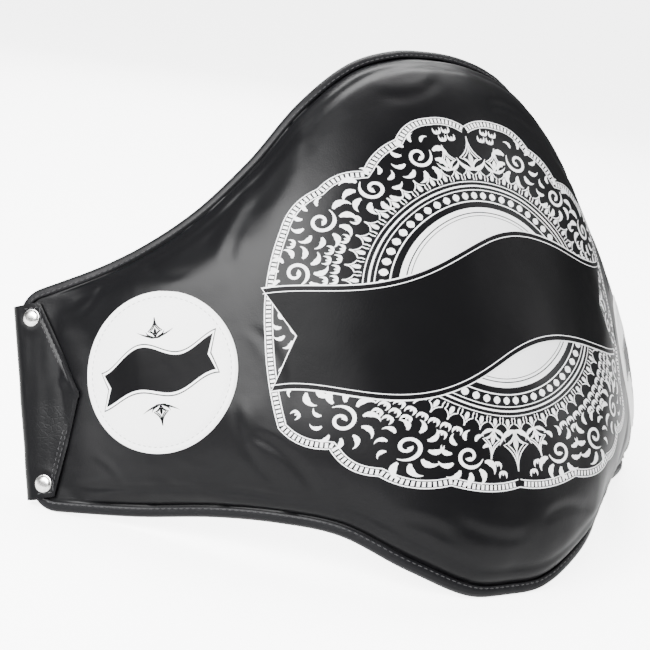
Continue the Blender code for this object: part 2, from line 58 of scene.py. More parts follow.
# ---- the shell's shape, as the solids have it --------------------------------------------
HALF_WIDTH = 0.343
TOP_EDGE = ((0.0, 0.210), (0.10, 0.207), (0.22, 0.194), (0.34, 0.165),
            (0.46, 0.124), (0.60, 0.089), (0.78, 0.063), (1.0, 0.046))
LOW_EDGE = ((0.0, -0.210), (0.10, -0.207), (0.22, -0.185), (0.34, -0.157),
            (0.46, -0.1435), (0.60, -0.134), (0.78, -0.127), (1.0, -0.114))
BEND = (0.2, 8.3, 1.9, -0.3, -0.2, 5.9)
CORNER_RADIUS = 0.018
BOW, BOW_CENTRE, BOW_REACH, BOW_WIDTH = 0.0155, -0.078, 0.21, 0.25
LINER_BACK = -4.0 * MM
COVER_FRONT = 3.3 * MM
COVER = 1.5 * MM
WING_PAD, CENTRE_PAD = 0.028, 0.023
FLAT_MARGIN, SHOULDER = 0.009, 0.075
TIP_MARGIN, TIP_RISE = 0.020, 0.080
CENTRE_SPAN, WING_SPAN = 0.107, 0.247
BINDING_FRONT, BINDING_BACK = 4.8 * MM, -5.5 * MM
BINDING_LEG, BINDING_NOSE = 7.5 * MM, 3.5 * MM
SHEET_INSET = 4.1 * MM
HINGE_AT = 0.142
FIT = 0.3 * MM                          # clearance between pieces that touch
PATCH_AT, PATCH_HEIGHT, PATCH_RADIUS = 0.230, -0.028, 0.0585
WRAP_MIDDLE, WRAP_HEIGHT = -0.034, 0.145


def smooth_curve(knots):
    """Cubic through the knots, level at the first one, for arrays of distances."""
    xs = np.array([k[0] * HALF_WIDTH for k in knots])
    ys = np.array([k[1] for k in knots])
    slopes = np.zeros(len(xs))
    slopes[1:-1] = (ys[2:] - ys[:-2]) / (xs[2:] - xs[:-2])
    slopes[-1] = (ys[-1] - ys[-2]) / (xs[-1] - xs[-2])

    def value(u):
        u = np.clip(np.abs(u), 0, xs[-1])
        i = np.clip(np.searchsorted(xs, u, side="right") - 1, 0, len(xs) - 2)
        width = xs[i + 1] - xs[i]
        t = (u - xs[i]) / width
        lift = ys[i + 1] - ys[i]
        a = slopes[i] * width - lift
        b = lift - slopes[i + 1] * width
        return ys[i] + lift * t + t * (1 - t) * (a * (1 - t) + b * t)

    return value


top_edge = smooth_curve(TOP_EDGE)
low_edge = smooth_curve(LOW_EDGE)


def slant(curve, u):
    probe = 1 * MM
    slope = (curve(np.abs(u) + probe) - curve(np.abs(u) - probe)) / (2 * probe)
    return np.sqrt(1 + slope * slope)


def build_plan(steps=400):
    step = HALF_WIDTH / steps
    share = (np.arange(steps) + 0.5) / steps
    turns = np.interp(share, np.linspace(0, 1, len(BEND)), BEND) * step
    heading = np.concatenate([[0], np.cumsum(turns)])
    half = heading[:-1] + turns / 2
    x = np.concatenate([[0], np.cumsum(np.cos(half) * step)])
    y = np.concatenate([[0], np.cumsum(np.sin(half) * step)])
    return np.linspace(0, HALF_WIDTH, steps + 1), x, y, heading


PLAN = build_plan()


def plan(u):
    distance, xs, ys, headings = PLAN
    far = np.abs(u)
    inside = np.minimum(far, HALF_WIDTH)
    past = far - inside
    heading = np.interp(inside, distance, headings)
    x = np.interp(inside, distance, xs) + np.cos(heading) * past
    y = np.interp(inside, distance, ys) + np.sin(heading) * past
    side = np.where(u < 0, -1.0, 1.0)
    return side * x, y, side * heading


def bow(u, height):
    fade = np.maximum(1 - (u / BOW_WIDTH) ** 2, 0)
    return BOW * (1 - ((height - BOW_CENTRE) / BOW_REACH) ** 2) * fade


def rise(distance, margin, width):
    share = np.clip((distance - margin) / width, 0, 1)
    return np.sqrt(np.maximum(1 - (1 - share) ** 2, 0))


def ease(share):
    share = np.clip(share, 0, 1)
    return share * share * (3 - 2 * share)


def edge_gaps(u, height):
    """Shortest ways from a point to the top edge and to the lower edge."""
    over = (top_edge(u) - height) / slant(top_edge, u)
    under = (height - low_edge(u)) / slant(low_edge, u)
    return over, under


def pad_height(u, height):
    middle = ease((WING_SPAN - np.abs(u)) / (WING_SPAN - CENTRE_SPAN))
    full = WING_PAD + (CENTRE_PAD - WING_PAD) * middle
    over, under = edge_gaps(u, height)
    tip = ease((HALF_WIDTH - np.abs(u) - TIP_MARGIN) / TIP_RISE)
    return full * rise(over, FLAT_MARGIN, SHOULDER) * rise(under, FLAT_MARGIN, SHOULDER) * tip


def pad_point(u, height, offset):
    """Pad-frame points, as rows, at an offset in front of the shell's middle surface."""
    u, height, offset = np.broadcast_arrays(*(np.asarray(a, float) for a in (u, height, offset)))
    x, y, heading = plan(u)
    out = offset + bow(u, height)
    return np.stack([x + np.sin(heading) * out, y - np.cos(heading) * out, height], -1)


# The pad leans back on its stand; the hinge of the right wing ties its frame to the part's.
joints = {joint["name"]: joint for joint in frame["joints"]}
lean_axis = Vector(joints["right_wing_flex"]["axis"]).normalized()
LEAN = Matrix.Rotation(-math.atan2(lean_axis.y, lean_axis.z), 3, "X")
bow_deepest = min(bow(HINGE_AT, top_edge(HINGE_AT)), bow(HINGE_AT, low_edge(HINGE_AT)))
hinge_offset = BINDING_BACK - FIT - bow(HINGE_AT, 0.0) + bow_deepest
hinge_local = Vector(pad_point(HINGE_AT, 0.0, hinge_offset))
ORIGIN = Vector(joints["right_wing_flex"]["pos_m"]) - LEAN @ hinge_local
LEAN_ROWS = np.array(LEAN)


def place(points):
    """Pad-frame rows to the part's frame."""
    return points @ LEAN_ROWS.T + np.array(ORIGIN)


def on_pad(u, height, offset):
    return place(pad_point(u, height, offset))


def sheet_edge(curve, u, sign, inset):
    """Height of a sheet's edge that lies inset from the pad's own, with round corners."""
    u = np.abs(u)
    tip = HALF_WIDTH - inset
    radius = max(CORNER_RADIUS - inset, 4 * MM)
    height = curve(u) - sign * inset * slant(curve, u)
    past = np.clip(u - (tip - radius), 0, radius)
    return height - sign * (radius - np.sqrt(radius ** 2 - past ** 2))


def sheet_span(u, inset):
    """Heights of a sheet's lower edge and of its top one."""
    return sheet_edge(low_edge, u, -1, inset), sheet_edge(top_edge, u, 1, inset)


def surface_line(u, height, offset, out=1):
    """Points on the pad, and the directions that leave it there (out is 1 or -1)."""
    line = on_pad(u, height, offset)
    return line, on_pad(u, height, offset + out * MM) - line


# ---- making meshes ---------------------------------------------------------------------------

def collection(name):
    made = bpy.data.collections.new(name)
    bpy.context.scene.collection.children.link(made)
    return made


LOOKS = collection("belly_pad_looks")


def add_object(name, mesh, material):
    mesh.materials.clear()
    mesh.materials.append(material)
    obj = bpy.data.objects.new(name, mesh)
    LOOKS.objects.link(obj)
    return obj


def mesh_from(name, bm):
    mesh = bpy.data.meshes.new(name)
    bm.to_mesh(mesh)
    bm.free()
    return mesh


def rows_of(items, field):
    """A three-part field of a mesh's vertices or corners, as rows."""
    flat = np.zeros(len(items) * 3)
    items.foreach_get(field, flat)
    return flat.reshape(-1, 3)


def corner_vertices(mesh):
    loops = np.zeros(len(mesh.loops), np.int32)
    mesh.loops.foreach_get("vertex_index", loops)
    return loops


def shape_mesh(mesh, points, u, height, side):
    """Moves a mesh's vertices to their points on the pad and maps it."""
    mesh.vertices.foreach_set("co", points.astype(np.float32).ravel())
    if side < 0:
        mesh.flip_normals()
    add_pad_uv(mesh, u, height)
    mesh.shade_smooth()


def lattice(name, columns, rows, shape, material, side=1, solid=True):
    """Grid of columns by rows, doubled into a closed sheet, shaped by
    shape(a, b, front) -> (points, u, height) for arrays of shares a and b."""
    bm = bmesh.new()
    bmesh.ops.create_grid(bm, x_segments=columns, y_segments=rows, size=0.5)
    if solid:
        lifted = bmesh.ops.extrude_face_region(bm, geom=bm.faces[:], use_keep_orig=True)
        raised = [item for item in lifted["geom"] if isinstance(item, bmesh.types.BMVert)]
        bmesh.ops.translate(bm, vec=(0, 0, 1), verts=raised)
        bmesh.ops.recalc_face_normals(bm, faces=bm.faces)
    mesh = mesh_from(name, bm)
    flat = rows_of(mesh.vertices, "co")
    front = flat[:, 2] > 0.5 if solid else np.ones(len(flat), bool)
    points, u, height = shape(flat[:, 0] + 0.5, flat[:, 1] + 0.5, front)
    shape_mesh(mesh, points, u, height, side)
    mesh.update()
    return add_object(name, mesh, material)


def add_pad_uv(mesh, u, height):
    """UV map in metres over a 1 m square, so that patterns can follow the leather."""
    layer = mesh.uv_layers.new(name="pad")
    loops = corner_vertices(mesh)
    uv = np.stack([u[loops] + 0.5, height[loops] + 0.5], -1)
    layer.data.foreach_set("uv", uv.astype(np.float32).ravel())


def join_at_middle(mesh):
    """Gives a half's front and back the same normals as the other half's where they meet."""
    mesh.set_sharp_from_angle(angle=math.radians(60))
    normals = rows_of(mesh.corner_normals, "vector").astype(np.float32)
    x = rows_of(mesh.vertices, "co")[corner_vertices(mesh), 0]
    at_middle = (np.abs(x) < 1e-6) & (np.abs(normals[:, 0]) < 0.7)
    normals[at_middle, 0] = 0
    normals /= np.linalg.norm(normals, axis=1)[:, None]
    mesh.normals_split_custom_set(normals)


def flex(obj):
    """Evens a half's normals where it meets the other half and bakes its placement into its mesh."""
    join_at_middle(obj.data)
    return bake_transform(obj)


# ---- materials ---------------------------------------------------------------------------------

def node_group(name, inputs, outputs):
    """Empty shader node group with named sockets; returns it with its two end nodes."""
    tree = bpy.data.node_groups.new(name, "ShaderNodeTree")
    for label, kind, value in inputs:
        socket = tree.interface.new_socket(name=label, in_out="INPUT", socket_type=kind)
        if value is not None:
            socket.default_value = value
    for label, kind in outputs:
        tree.interface.new_socket(name=label, in_out="OUTPUT", socket_type=kind)
    return tree, tree.nodes.new("NodeGroupInput"), tree.nodes.new("NodeGroupOutput")


def add_node(tree, kind, **settings):
    node = tree.nodes.new(kind)
    for key, value in settings.items():
        setattr(node, key, value)
    return node


def link(tree, source, target):
    tree.links.new(source, target)


def noise(tree, vector, scale, detail=2.0, rough=0.5):
    node = add_node(tree, "ShaderNodeTexNoise")
    link(tree, vector, node.inputs["Vector"])
    node.inputs["Scale"].default_value = scale
    node.inputs["Detail"].default_value = detail
    node.inputs["Roughness"].default_value = rough
    return node


def ramp(tree, value, low, high, to_low=0.0, to_high=1.0):
    node = add_node(tree, "ShaderNodeMapRange", clamp=True)
    link(tree, value, node.inputs["Value"])
    for label, number in (("From Min", low), ("From Max", high), ("To Min", to_low),
                          ("To Max", to_high)):
        node.inputs[label].default_value = number
    return node.outputs["Result"]


def maths(tree, operation, a, b):
    node = add_node(tree, "ShaderNodeMath", operation=operation)
    for socket, value in zip(node.inputs, (a, b)):
        if isinstance(value, (int, float)):
            socket.default_value = value
        else:
            link(tree, value, socket)
    return node.outputs["Value"]


def leather_grain():
    """Pebbled skin with fine creases that gather in patches."""
    tree, start, end = node_group(
        "leather_grain",
        [("Vector", "NodeSocketVector", None), ("Pebbles", "NodeSocketFloat", 1100.0),
         ("Creases", "NodeSocketFloat", 130.0)],
        [("Grain", "NodeSocketFloat"), ("Crease", "NodeSocketFloat"), ("Patch", "NodeSocketFloat")])
    vector = start.outputs["Vector"]
    warp = noise(tree, vector, 55.0, 3.0)
    shift = add_node(tree, "ShaderNodeVectorMath", operation="SCALE")
    link(tree, warp.outputs["Color"], shift.inputs[0])
    shift.inputs["Scale"].default_value = 0.010
    moved = add_node(tree, "ShaderNodeVectorMath", operation="ADD")
    link(tree, vector, moved.inputs[0])
    link(tree, shift.outputs["Vector"], moved.inputs[1])
    pebbles = add_node(tree, "ShaderNodeTexVoronoi", feature="SMOOTH_F1")
    link(tree, vector, pebbles.inputs["Vector"])
    link(tree, start.outputs["Pebbles"], pebbles.inputs["Scale"])
    pores = noise(tree, vector, 700.0, 2.0)
    grain = maths(tree, "ADD", maths(tree, "MULTIPLY", pebbles.outputs["Distance"], 0.6),
                  maths(tree, "MULTIPLY", pores.outputs["Fac"], 0.5))
    cracks = add_node(tree, "ShaderNodeTexVoronoi", feature="DISTANCE_TO_EDGE")
    link(tree, moved.outputs["Vector"], cracks.inputs["Vector"])
    link(tree, start.outputs["Creases"], cracks.inputs["Scale"])
    lines = ramp(tree, cracks.outputs["Distance"], 0.0, 0.16)
    patches = noise(tree, vector, 14.0, 2.0)
    patch = ramp(tree, patches.outputs["Fac"], 0.46, 0.66)
    crease = maths(tree, "MULTIPLY", maths(tree, "SUBTRACT", lines, 1.0), patch)
    link(tree, grain, end.inputs["Grain"])
    link(tree, crease, end.inputs["Crease"])
    link(tree, patch, end.inputs["Patch"])
    return tree


def weave_pattern():
    """Plain weave: crossing ribs, for lining, elastic and thread."""
    tree, start, end = node_group(
        "weave_pattern",
        [("Vector", "NodeSocketVector", None), ("Threads", "NodeSocketFloat", 700.0)],
        [("Height", "NodeSocketFloat"), ("Fleck", "NodeSocketFloat")])
    ribs = []
    for direction in ("X", "Y"):
        wave = add_node(tree, "ShaderNodeTexWave", bands_direction=direction)
        link(tree, start.outputs["Vector"], wave.inputs["Vector"])
        link(tree, start.outputs["Threads"], wave.inputs["Scale"])
        ribs.append(wave.outputs["Fac"])
    fleck = noise(tree, start.outputs["Vector"], 420.0, 3.0)
    link(tree, maths(tree, "MULTIPLY", *ribs), end.inputs["Height"])
    link(tree, fleck.outputs["Fac"], end.inputs["Fleck"])
    return tree


GRAIN = leather_grain()
WEAVE = weave_pattern()


def new_material(name, base, rough, metallic=0.0, sheen=0.0, coat=0.0, coat_rough=0.2, spec=0.5):
    """Principled material; returns it with its tree, its shader and the Object coordinates."""
    material = bpy.data.materials.new(name)
    material.use_nodes = True
    tree = material.node_tree
    shader = tree.nodes["Principled BSDF"]
    values = {"Base Color": (*base, 1.0), "Roughness": rough, "Metallic": metallic,
              "Sheen Weight": sheen, "Coat Weight": coat, "Coat Roughness": coat_rough,
              "Specular IOR Level": spec}
    for label, value in values.items():
        shader.inputs[label].default_value = value
    coordinates = add_node(tree, "ShaderNodeTexCoord").outputs["Object"]
    return material, tree, shader, coordinates


def bump(tree, height, strength, distance, under=None):
    node = add_node(tree, "ShaderNodeBump")
    node.inputs["Strength"].default_value = strength
    node.inputs["Distance"].default_value = distance
    link(tree, height, node.inputs["Height"])
    if under is not None:
        link(tree, under, node.inputs["Normal"])
    return node.outputs["Normal"]


def mix_colours(tree, factor, a, b):
    node = add_node(tree, "ShaderNodeMix", data_type="RGBA")
    link(tree, factor, node.inputs["Factor"])
    node.inputs["A"].default_value = (*a, 1.0)
    node.inputs["B"].default_value = (*b, 1.0)
    return node.outputs["Result"]


def leather(name, dark, light, rough=(0.30, 0.42), coat=0.0, spec=0.115, grain=0.10, crease=0.08,
            pebbles=1300.0, creases=420.0, undulation=0.22):
    material, tree, shader, where = new_material(name, dark, rough[0], coat=coat, spec=spec)
    skin = add_node(tree, "ShaderNodeGroup", node_tree=GRAIN)
    link(tree, where, skin.inputs["Vector"])
    skin.inputs["Pebbles"].default_value = pebbles
    skin.inputs["Creases"].default_value = creases
    tone = noise(tree, where, 9.0, 3.0)
    link(tree, mix_colours(tree, tone.outputs["Fac"], dark, light), shader.inputs["Base Color"])
    gloss = maths(tree, "ADD", maths(tree, "MULTIPLY", skin.outputs["Patch"], 0.5),
                  maths(tree, "MULTIPLY", skin.outputs["Grain"], 0.5))
    link(tree, ramp(tree, gloss, 0.0, 1.0, *rough), shader.inputs["Roughness"])
    soft = noise(tree, where, 45.0, 2.0)
    normal = bump(tree, soft.outputs["Fac"], undulation, 1.2 * MM)
    normal = bump(tree, skin.outputs["Crease"], crease, 0.5 * MM, normal)
    normal = bump(tree, skin.outputs["Grain"], grain, 0.3 * MM, normal)
    link(tree, normal, shader.inputs["Normal"])
    return material


def woven(name, dark, light, rough, threads, depth, sheen=0.25, mapped=True):
    material, tree, shader, where = new_material(name, dark, rough, sheen=sheen, spec=0.25)
    if mapped:
        where = add_node(tree, "ShaderNodeUVMap", uv_map="pad").outputs["UV"]
    cloth = add_node(tree, "ShaderNodeGroup", node_tree=WEAVE)
    link(tree, where, cloth.inputs["Vector"])
    cloth.inputs["Threads"].default_value = threads
    link(tree, mix_colours(tree, cloth.outputs["Fleck"], dark, light), shader.inputs["Base Color"])
    link(tree, bump(tree, cloth.outputs["Height"], 0.6, depth), shader.inputs["Normal"])
    return material


def pile(name, dark, light, scale):
    """Hook or loop tape: a dense fuzz of tiny hooks or loops."""
    material, tree, shader, where = new_material(name, dark, 0.95, sheen=0.5, spec=0.2)
    fuzz = noise(tree, where, scale, 4.0, 0.7)
    link(tree, mix_colours(tree, fuzz.outputs["Fac"], dark, light), shader.inputs["Base Color"])
    link(tree, bump(tree, fuzz.outputs["Fac"], 0.9, 0.6 * MM), shader.inputs["Normal"])
    return material


def polished(name, colour):
    material, tree, shader, where = new_material(name, colour, 0.22, metallic=1.0)
    scratches = noise(tree, where, 260.0, 5.0, 0.75)
    link(tree, ramp(tree, scratches.outputs["Fac"], 0.3, 0.7, 0.16, 0.36),
         shader.inputs["Roughness"])
    link(tree, bump(tree, scratches.outputs["Fac"], 0.08, 0.1 * MM), shader.inputs["Normal"])
    return material


def foam_look(name):
    material, tree, shader, where = new_material(name, (0.30, 0.30, 0.29), 0.95, spec=0.2)
    cells = add_node(tree, "ShaderNodeTexVoronoi")
    link(tree, where, cells.inputs["Vector"])
    cells.inputs["Scale"].default_value = 600.0
    link(tree, mix_colours(tree, cells.outputs["Distance"], (0.25, 0.25, 0.24),
                           (0.36, 0.36, 0.35)), shader.inputs["Base Color"])
    link(tree, bump(tree, cells.outputs["Distance"], 0.5, 0.4 * MM), shader.inputs["Normal"])
    return material


BLACK = leather("black_leather", (0.0025, 0.0025, 0.0029), (0.0045, 0.0045, 0.0050), grain=0.16)
WRAP_BLACK = leather("wrap_leather", (0.0025, 0.0025, 0.0029), (0.0045, 0.0045, 0.0050),
                     rough=(0.28, 0.42), creases=260.0, crease=0.14)
BINDING_BLACK = leather("binding_leather", (0.0045, 0.0045, 0.0052), (0.0070, 0.0070, 0.0078),
                        rough=(0.36, 0.52), creases=320.0, crease=0.3, pebbles=1500.0)
WHITE = leather("white_leather", (0.93, 0.93, 0.925), (0.97, 0.97, 0.965), rough=(0.40, 0.52),
                spec=0.4, grain=0.14, crease=0.12, pebbles=1300.0)
INK_WHITE = leather("print_white", (0.84, 0.84, 0.845), (0.92, 0.92, 0.925), rough=(0.34, 0.44),
                    spec=0.35, grain=0.12, crease=0.15)
INK_BLACK = leather("print_black", (0.003, 0.003, 0.0033), (0.004, 0.004, 0.0044),
                    rough=(0.34, 0.44), spec=0.045, grain=0.14, crease=0.10)
LINING = woven("lining_cloth", (0.008, 0.008, 0.009), (0.022, 0.022, 0.024), 0.75, 420.0, 0.2 * MM,
               sheen=0.12)
WEBBING = woven("elastic_webbing", (0.006, 0.006, 0.007), (0.018, 0.018, 0.020), 0.8, 260.0,
                0.4 * MM, sheen=0.12)
THREAD = woven("black_thread", (0.010, 0.010, 0.011), (0.022, 0.022, 0.024), 0.6, 1600.0, 0.1 * MM,
               mapped=False)
PALE_THREAD = woven("pale_thread", (0.42, 0.42, 0.42), (0.55, 0.55, 0.55), 0.7, 1600.0, 0.1 * MM,
                    mapped=False)
HOOKS = pile("hook_tape", (0.010, 0.010, 0.011), (0.030, 0.030, 0.032), 1500.0)
LOOPS = pile("loop_tape", (0.012, 0.012, 0.013), (0.040, 0.040, 0.042), 900.0)
NICKEL = polished("nickel", (0.80, 0.79, 0.77))
FOAM = foam_look("pad_foam")


# ---- leather surface ----------------------------------------------------------------------------

def ripple(x, y, seed):
    """Smooth value noise from -1 to 1 on arrays of coordinates in cells."""
    column, row = np.floor(x), np.floor(y)
    tx, ty = ease(x - column), ease(y - row)

    def corner(i, j):
        wave = np.sin((column + i) * 127.1 + (row + j) * 311.7 + seed * 74.7) * 43758.5453
        return 2 * (wave - np.floor(wave)) - 1

    low = corner(0, 0) * (1 - tx) + corner(1, 0) * tx
    high = corner(0, 1) * (1 - tx) + corner(1, 1) * tx
    return low * (1 - ty) + high * ty


def bell(distance, width):
    return np.exp(-(distance / width) ** 2)


# Soft folds pressed into the leather: (start, end, bow, width, depth), lengths in metres.
FOLDS = (((-0.168, -0.080), (-0.128, -0.128), 0.10, 0.0040, 0.80),
         ((-0.176, -0.060), (-0.150, -0.120), -0.12, 0.0035, 0.60),
         ((-0.160, -0.005), (-0.145, -0.062), 0.14, 0.0040, 0.55),
         ((-0.172, 0.040), (-0.150, 0.088), 0.10, 0.0050, 0.55),
         ((-0.190, 0.062), (-0.160, 0.112), -0.10, 0.0045, 0.45),
         ((-0.205, 0.040), (-0.240, 0.062), 0.16, 0.0040, 0.45),
         ((-0.222, -0.098), (-0.180, -0.104), -0.14, 0.0035, 0.55),
         ((-0.262, -0.098), (-0.226, -0.112), 0.14, 0.0035, 0.45),
         ((-0.290, -0.080), (-0.268, -0.104), 0.10, 0.0030, 0.50),
         ((-0.296, 0.022), (-0.272, 0.046), -0.12, 0.0030, 0.45),
         ((-0.090, -0.150), (-0.050, -0.168), 0.12, 0.0045, 0.60),
         ((-0.046, -0.156), (0.006, -0.170), -0.10, 0.0045, 0.50),
         ((0.022, -0.158), (0.070, -0.156), 0.12, 0.0040, 0.60),
         ((-0.110, 0.120), (-0.082, 0.150), 0.10, 0.0045, 0.45),
         ((-0.060, 0.160), (-0.010, 0.176), -0.12, 0.0050, 0.45),
         ((0.030, 0.158), (0.072, 0.146), 0.12, 0.0045, 0.55),
         ((0.088, 0.128), (0.124, 0.110), -0.10, 0.0040, 0.50),
         ((0.150, 0.070), (0.168, 0.018), 0.12, 0.0040, 0.60),
         ((0.160, 0.000), (0.150, -0.060), -0.12, 0.0040, 0.60),
         ((0.172, -0.066), (0.146, -0.120), 0.12, 0.0040, 0.65),
         ((0.198, 0.044), (0.232, 0.058), 0.14, 0.0035, 0.45),
         ((0.232, -0.100), (0.190, -0.106), 0.12, 0.0035, 0.50))


def folds(u, height):
    """Depth of the leather's soft folds: a groove with a low roll on each side."""
    total = np.zeros(np.shape(u))
    for start, end, bow_share, width, depth in FOLDS:
        ax, ay = start
        dx, dy = end[0] - ax, end[1] - ay
        length = math.hypot(dx, dy)
        along = ((u - ax) * dx + (height - ay) * dy) / length ** 2
        across = ((height - ay) * dx - (u - ax) * dy) / length
        inside_part = np.clip(along, 0, 1)
        bent = across - bow_share * length * 4 * inside_part * (1 - inside_part)
        fade = np.exp(-(np.clip(np.abs(along - 0.5) - 0.32, 0, None) / 0.16) ** 2)
        total += depth * fade * (bell(bent, width) - 0.55 * bell(bent - 1.7 * width, width * 1.1)
                                 - 0.35 * bell(bent + 1.7 * width, width * 1.1))
    return total


def leather_relief(u, height):
    """Fine shape of the front over the plain padding: the crease inside the edge, gathers
    along it, and slow dents across the field."""
    over, under = edge_gaps(u, height)
    gap = np.minimum(over, under)
    padded = ease((gap - FLAT_MARGIN) / 0.01) * ease((HALF_WIDTH - 0.03 - np.abs(u)) / 0.03)
    along = np.abs(u) * 40
    crease_at = 0.020 + 0.002 * ripple(along * 0.5, under * 0, 3)
    crease = (bell(under - crease_at, 0.0035) * (1.7 + 0.6 * ripple(along * 0.6, over * 0, 5))
              + bell(over - crease_at, 0.0035) * (0.9 + 0.6 * ripple(along * 0.6, over * 0, 7)))
    gathers = ripple(u * 85, gap * 30, 11) * bell(gap - 0.022, 0.012)
    dents = ripple(u * 22, height * 22, 13) + 0.5 * ripple(u * 47 + 9, height * 41, 17)
    return padded * MM * (-1.15 * crease + 0.42 * gathers + 0.30 * dents - folds(u, height))


# Columns and rows of the fine grid; rows follow the edges and the columns the round corners.
FRONT_COLUMNS, FRONT_ROWS = 160, 170
SIM_COLUMNS, SIM_ROWS = 168, 96
SIM_STEPS = 16
SIM_LIMIT = 1.6 * MM                    # furthest the simulation may move the leather
SIM_SWELL = 9                           # cells over which movement counts as broad swelling
HELD_ROWS, HELD_COLUMNS = 5, 9          # lines of the hide's rim that stay put
HIDE = {"quality": 6, "mass": 0.4, "tension_stiffness": 18, "compression_stiffness": 18,
        "shear_stiffness": 8, "bending_stiffness": 0.8, "air_damping": 3,
        "shrink_min": -0.010, "use_pressure": True, "uniform_pressure_force": 0.5}


def sheet_rows(share):
    """Heights' shares from the lower edge to the top one, closer together at the edges."""
    return 0.5 * share + 0.25 * (1 - np.cos(math.pi * share))


def blurred(grid, reach):
    """Grid averaged over a window that reaches so many cells each way, twice over."""
    for _ in range(2):
        for axis in (0, 1):
            widths = [(reach, reach) if k == axis else (0, 0) for k in (0, 1)]
            padded = np.pad(grid, widths, mode="edge")
            sums = np.cumsum(padded, axis=axis)
            sums = np.insert(sums, 0, 0.0, axis=axis)
            window = 2 * reach + 1
            size = grid.shape[axis]
            grid = (np.take(sums, range(window, window + size), axis=axis)
                    - np.take(sums, range(size), axis=axis)) / window
    return grid


def settle_leather():
    """Lets a slightly oversized hide settle over the padding with its rim held, and returns
    how far it moved out along the surface, as a grid of columns by rows."""
    def shape(a, b, front):
        u = np.sign(a - 0.5) * half_columns(np.abs(2 * a - 1), SHEET_INSET)
        low, top = sheet_span(u, SHEET_INSET)
        height = low + (top - low) * sheet_rows(b)
        offset = COVER_FRONT + pad_height(u, height) + leather_relief(u, height)
        return on_pad(u, height, offset), u, height

    hide = lattice("hide", SIM_COLUMNS, SIM_ROWS, shape, BLACK, solid=False)
    mesh = hide.data
    rest = rows_of(mesh.vertices, "co")
    normals = rows_of(mesh.vertex_normals, "vector")
    order = np.arange(len(rest)).reshape(SIM_ROWS + 1, SIM_COLUMNS + 1)
    held = np.concatenate([order[:HELD_ROWS], order[-HELD_ROWS:]], axis=None)
    held = np.concatenate([held, order[:, :HELD_COLUMNS], order[:, -HELD_COLUMNS:]], axis=None)
    rim = hide.vertex_groups.new(name="held")
    rim.add(sorted(set(held.tolist())), 1.0, "REPLACE")
    cloth = hide.modifiers.new("settle", "CLOTH")
    settings = cloth.settings
    for key, value in HIDE.items():
        setattr(settings, key, value)
    settings.vertex_group_mass = "held"
    settings.effector_weights.gravity = 0
    cloth.collision_settings.use_collision = False
    scene = bpy.context.scene
    for step in range(1, SIM_STEPS + 1):
        scene.frame_set(step)
    settled = hide.evaluated_get(bpy.context.evaluated_depsgraph_get()).data
    moved = ((rows_of(settled.vertices, "co") - rest) * normals).sum(axis=1)
    scene.frame_set(1)
    bpy.data.objects.remove(hide)
    moved = moved[order]
    folds_only = moved - blurred(moved, SIM_SWELL)
    return blurred(SIM_LIMIT * np.tanh(folds_only / SIM_LIMIT), 1)


def settled_offset(u, height):
    """How far the settled hide lies in front of its plain shape at points of the pad."""
    if SETTLED is None:
        return 0.0
    out = np.abs(u)
    low, top = sheet_span(u, SHEET_INSET)
    shares = np.linspace(0, 1, 400)
    a = np.interp(out, half_columns(shares, SHEET_INSET), shares)
    b = np.interp((height - low) / (top - low), sheet_rows(shares), shares)
    x = (0.5 + np.sign(u) * a / 2) * SIM_COLUMNS
    y = b * SIM_ROWS
    i = np.clip(np.floor(x).astype(int), 0, SIM_COLUMNS - 1)
    j = np.clip(np.floor(y).astype(int), 0, SIM_ROWS - 1)
    tx, ty = x - i, y - j
    first = SETTLED[j, i] * (1 - tx) + SETTLED[j, i + 1] * tx
    second = SETTLED[j + 1, i] * (1 - tx) + SETTLED[j + 1, i + 1] * tx
    return first * (1 - ty) + second * ty


def front_offset(u, height):
    return (COVER_FRONT + pad_height(u, height) + leather_relief(u, height)
            + settled_offset(u, height))


def half_columns(share, inset):
    """Distance out for a share of the way to the tip, closer together in the round corner."""
    tip, radius = HALF_WIDTH - inset, CORNER_RADIUS - inset
    corner = tip - radius
    split = 0.92
    turned = np.clip((share - split) / (1 - split), 0, 1)
    return np.where(share < split, corner * share / split,
                    corner + radius * np.sin(turned * math.pi / 2))


def half_sheet(name, side, columns, rows, inset, front, back, material):
    """Left or right half of one of the pad's layers, from the middle to the tip."""
    def shape(a, b, is_front):
        u = half_columns(a, inset)
        low, top = sheet_span(u, inset)
        height = low + (top - low) * sheet_rows(b)
        offset = np.where(is_front, front(u * side, height), back(u * side, height))
        return on_pad(side * u, height, offset), side * u, height

    return lattice(name, columns, rows, shape, material, side)


SETTLED = settle_leather()


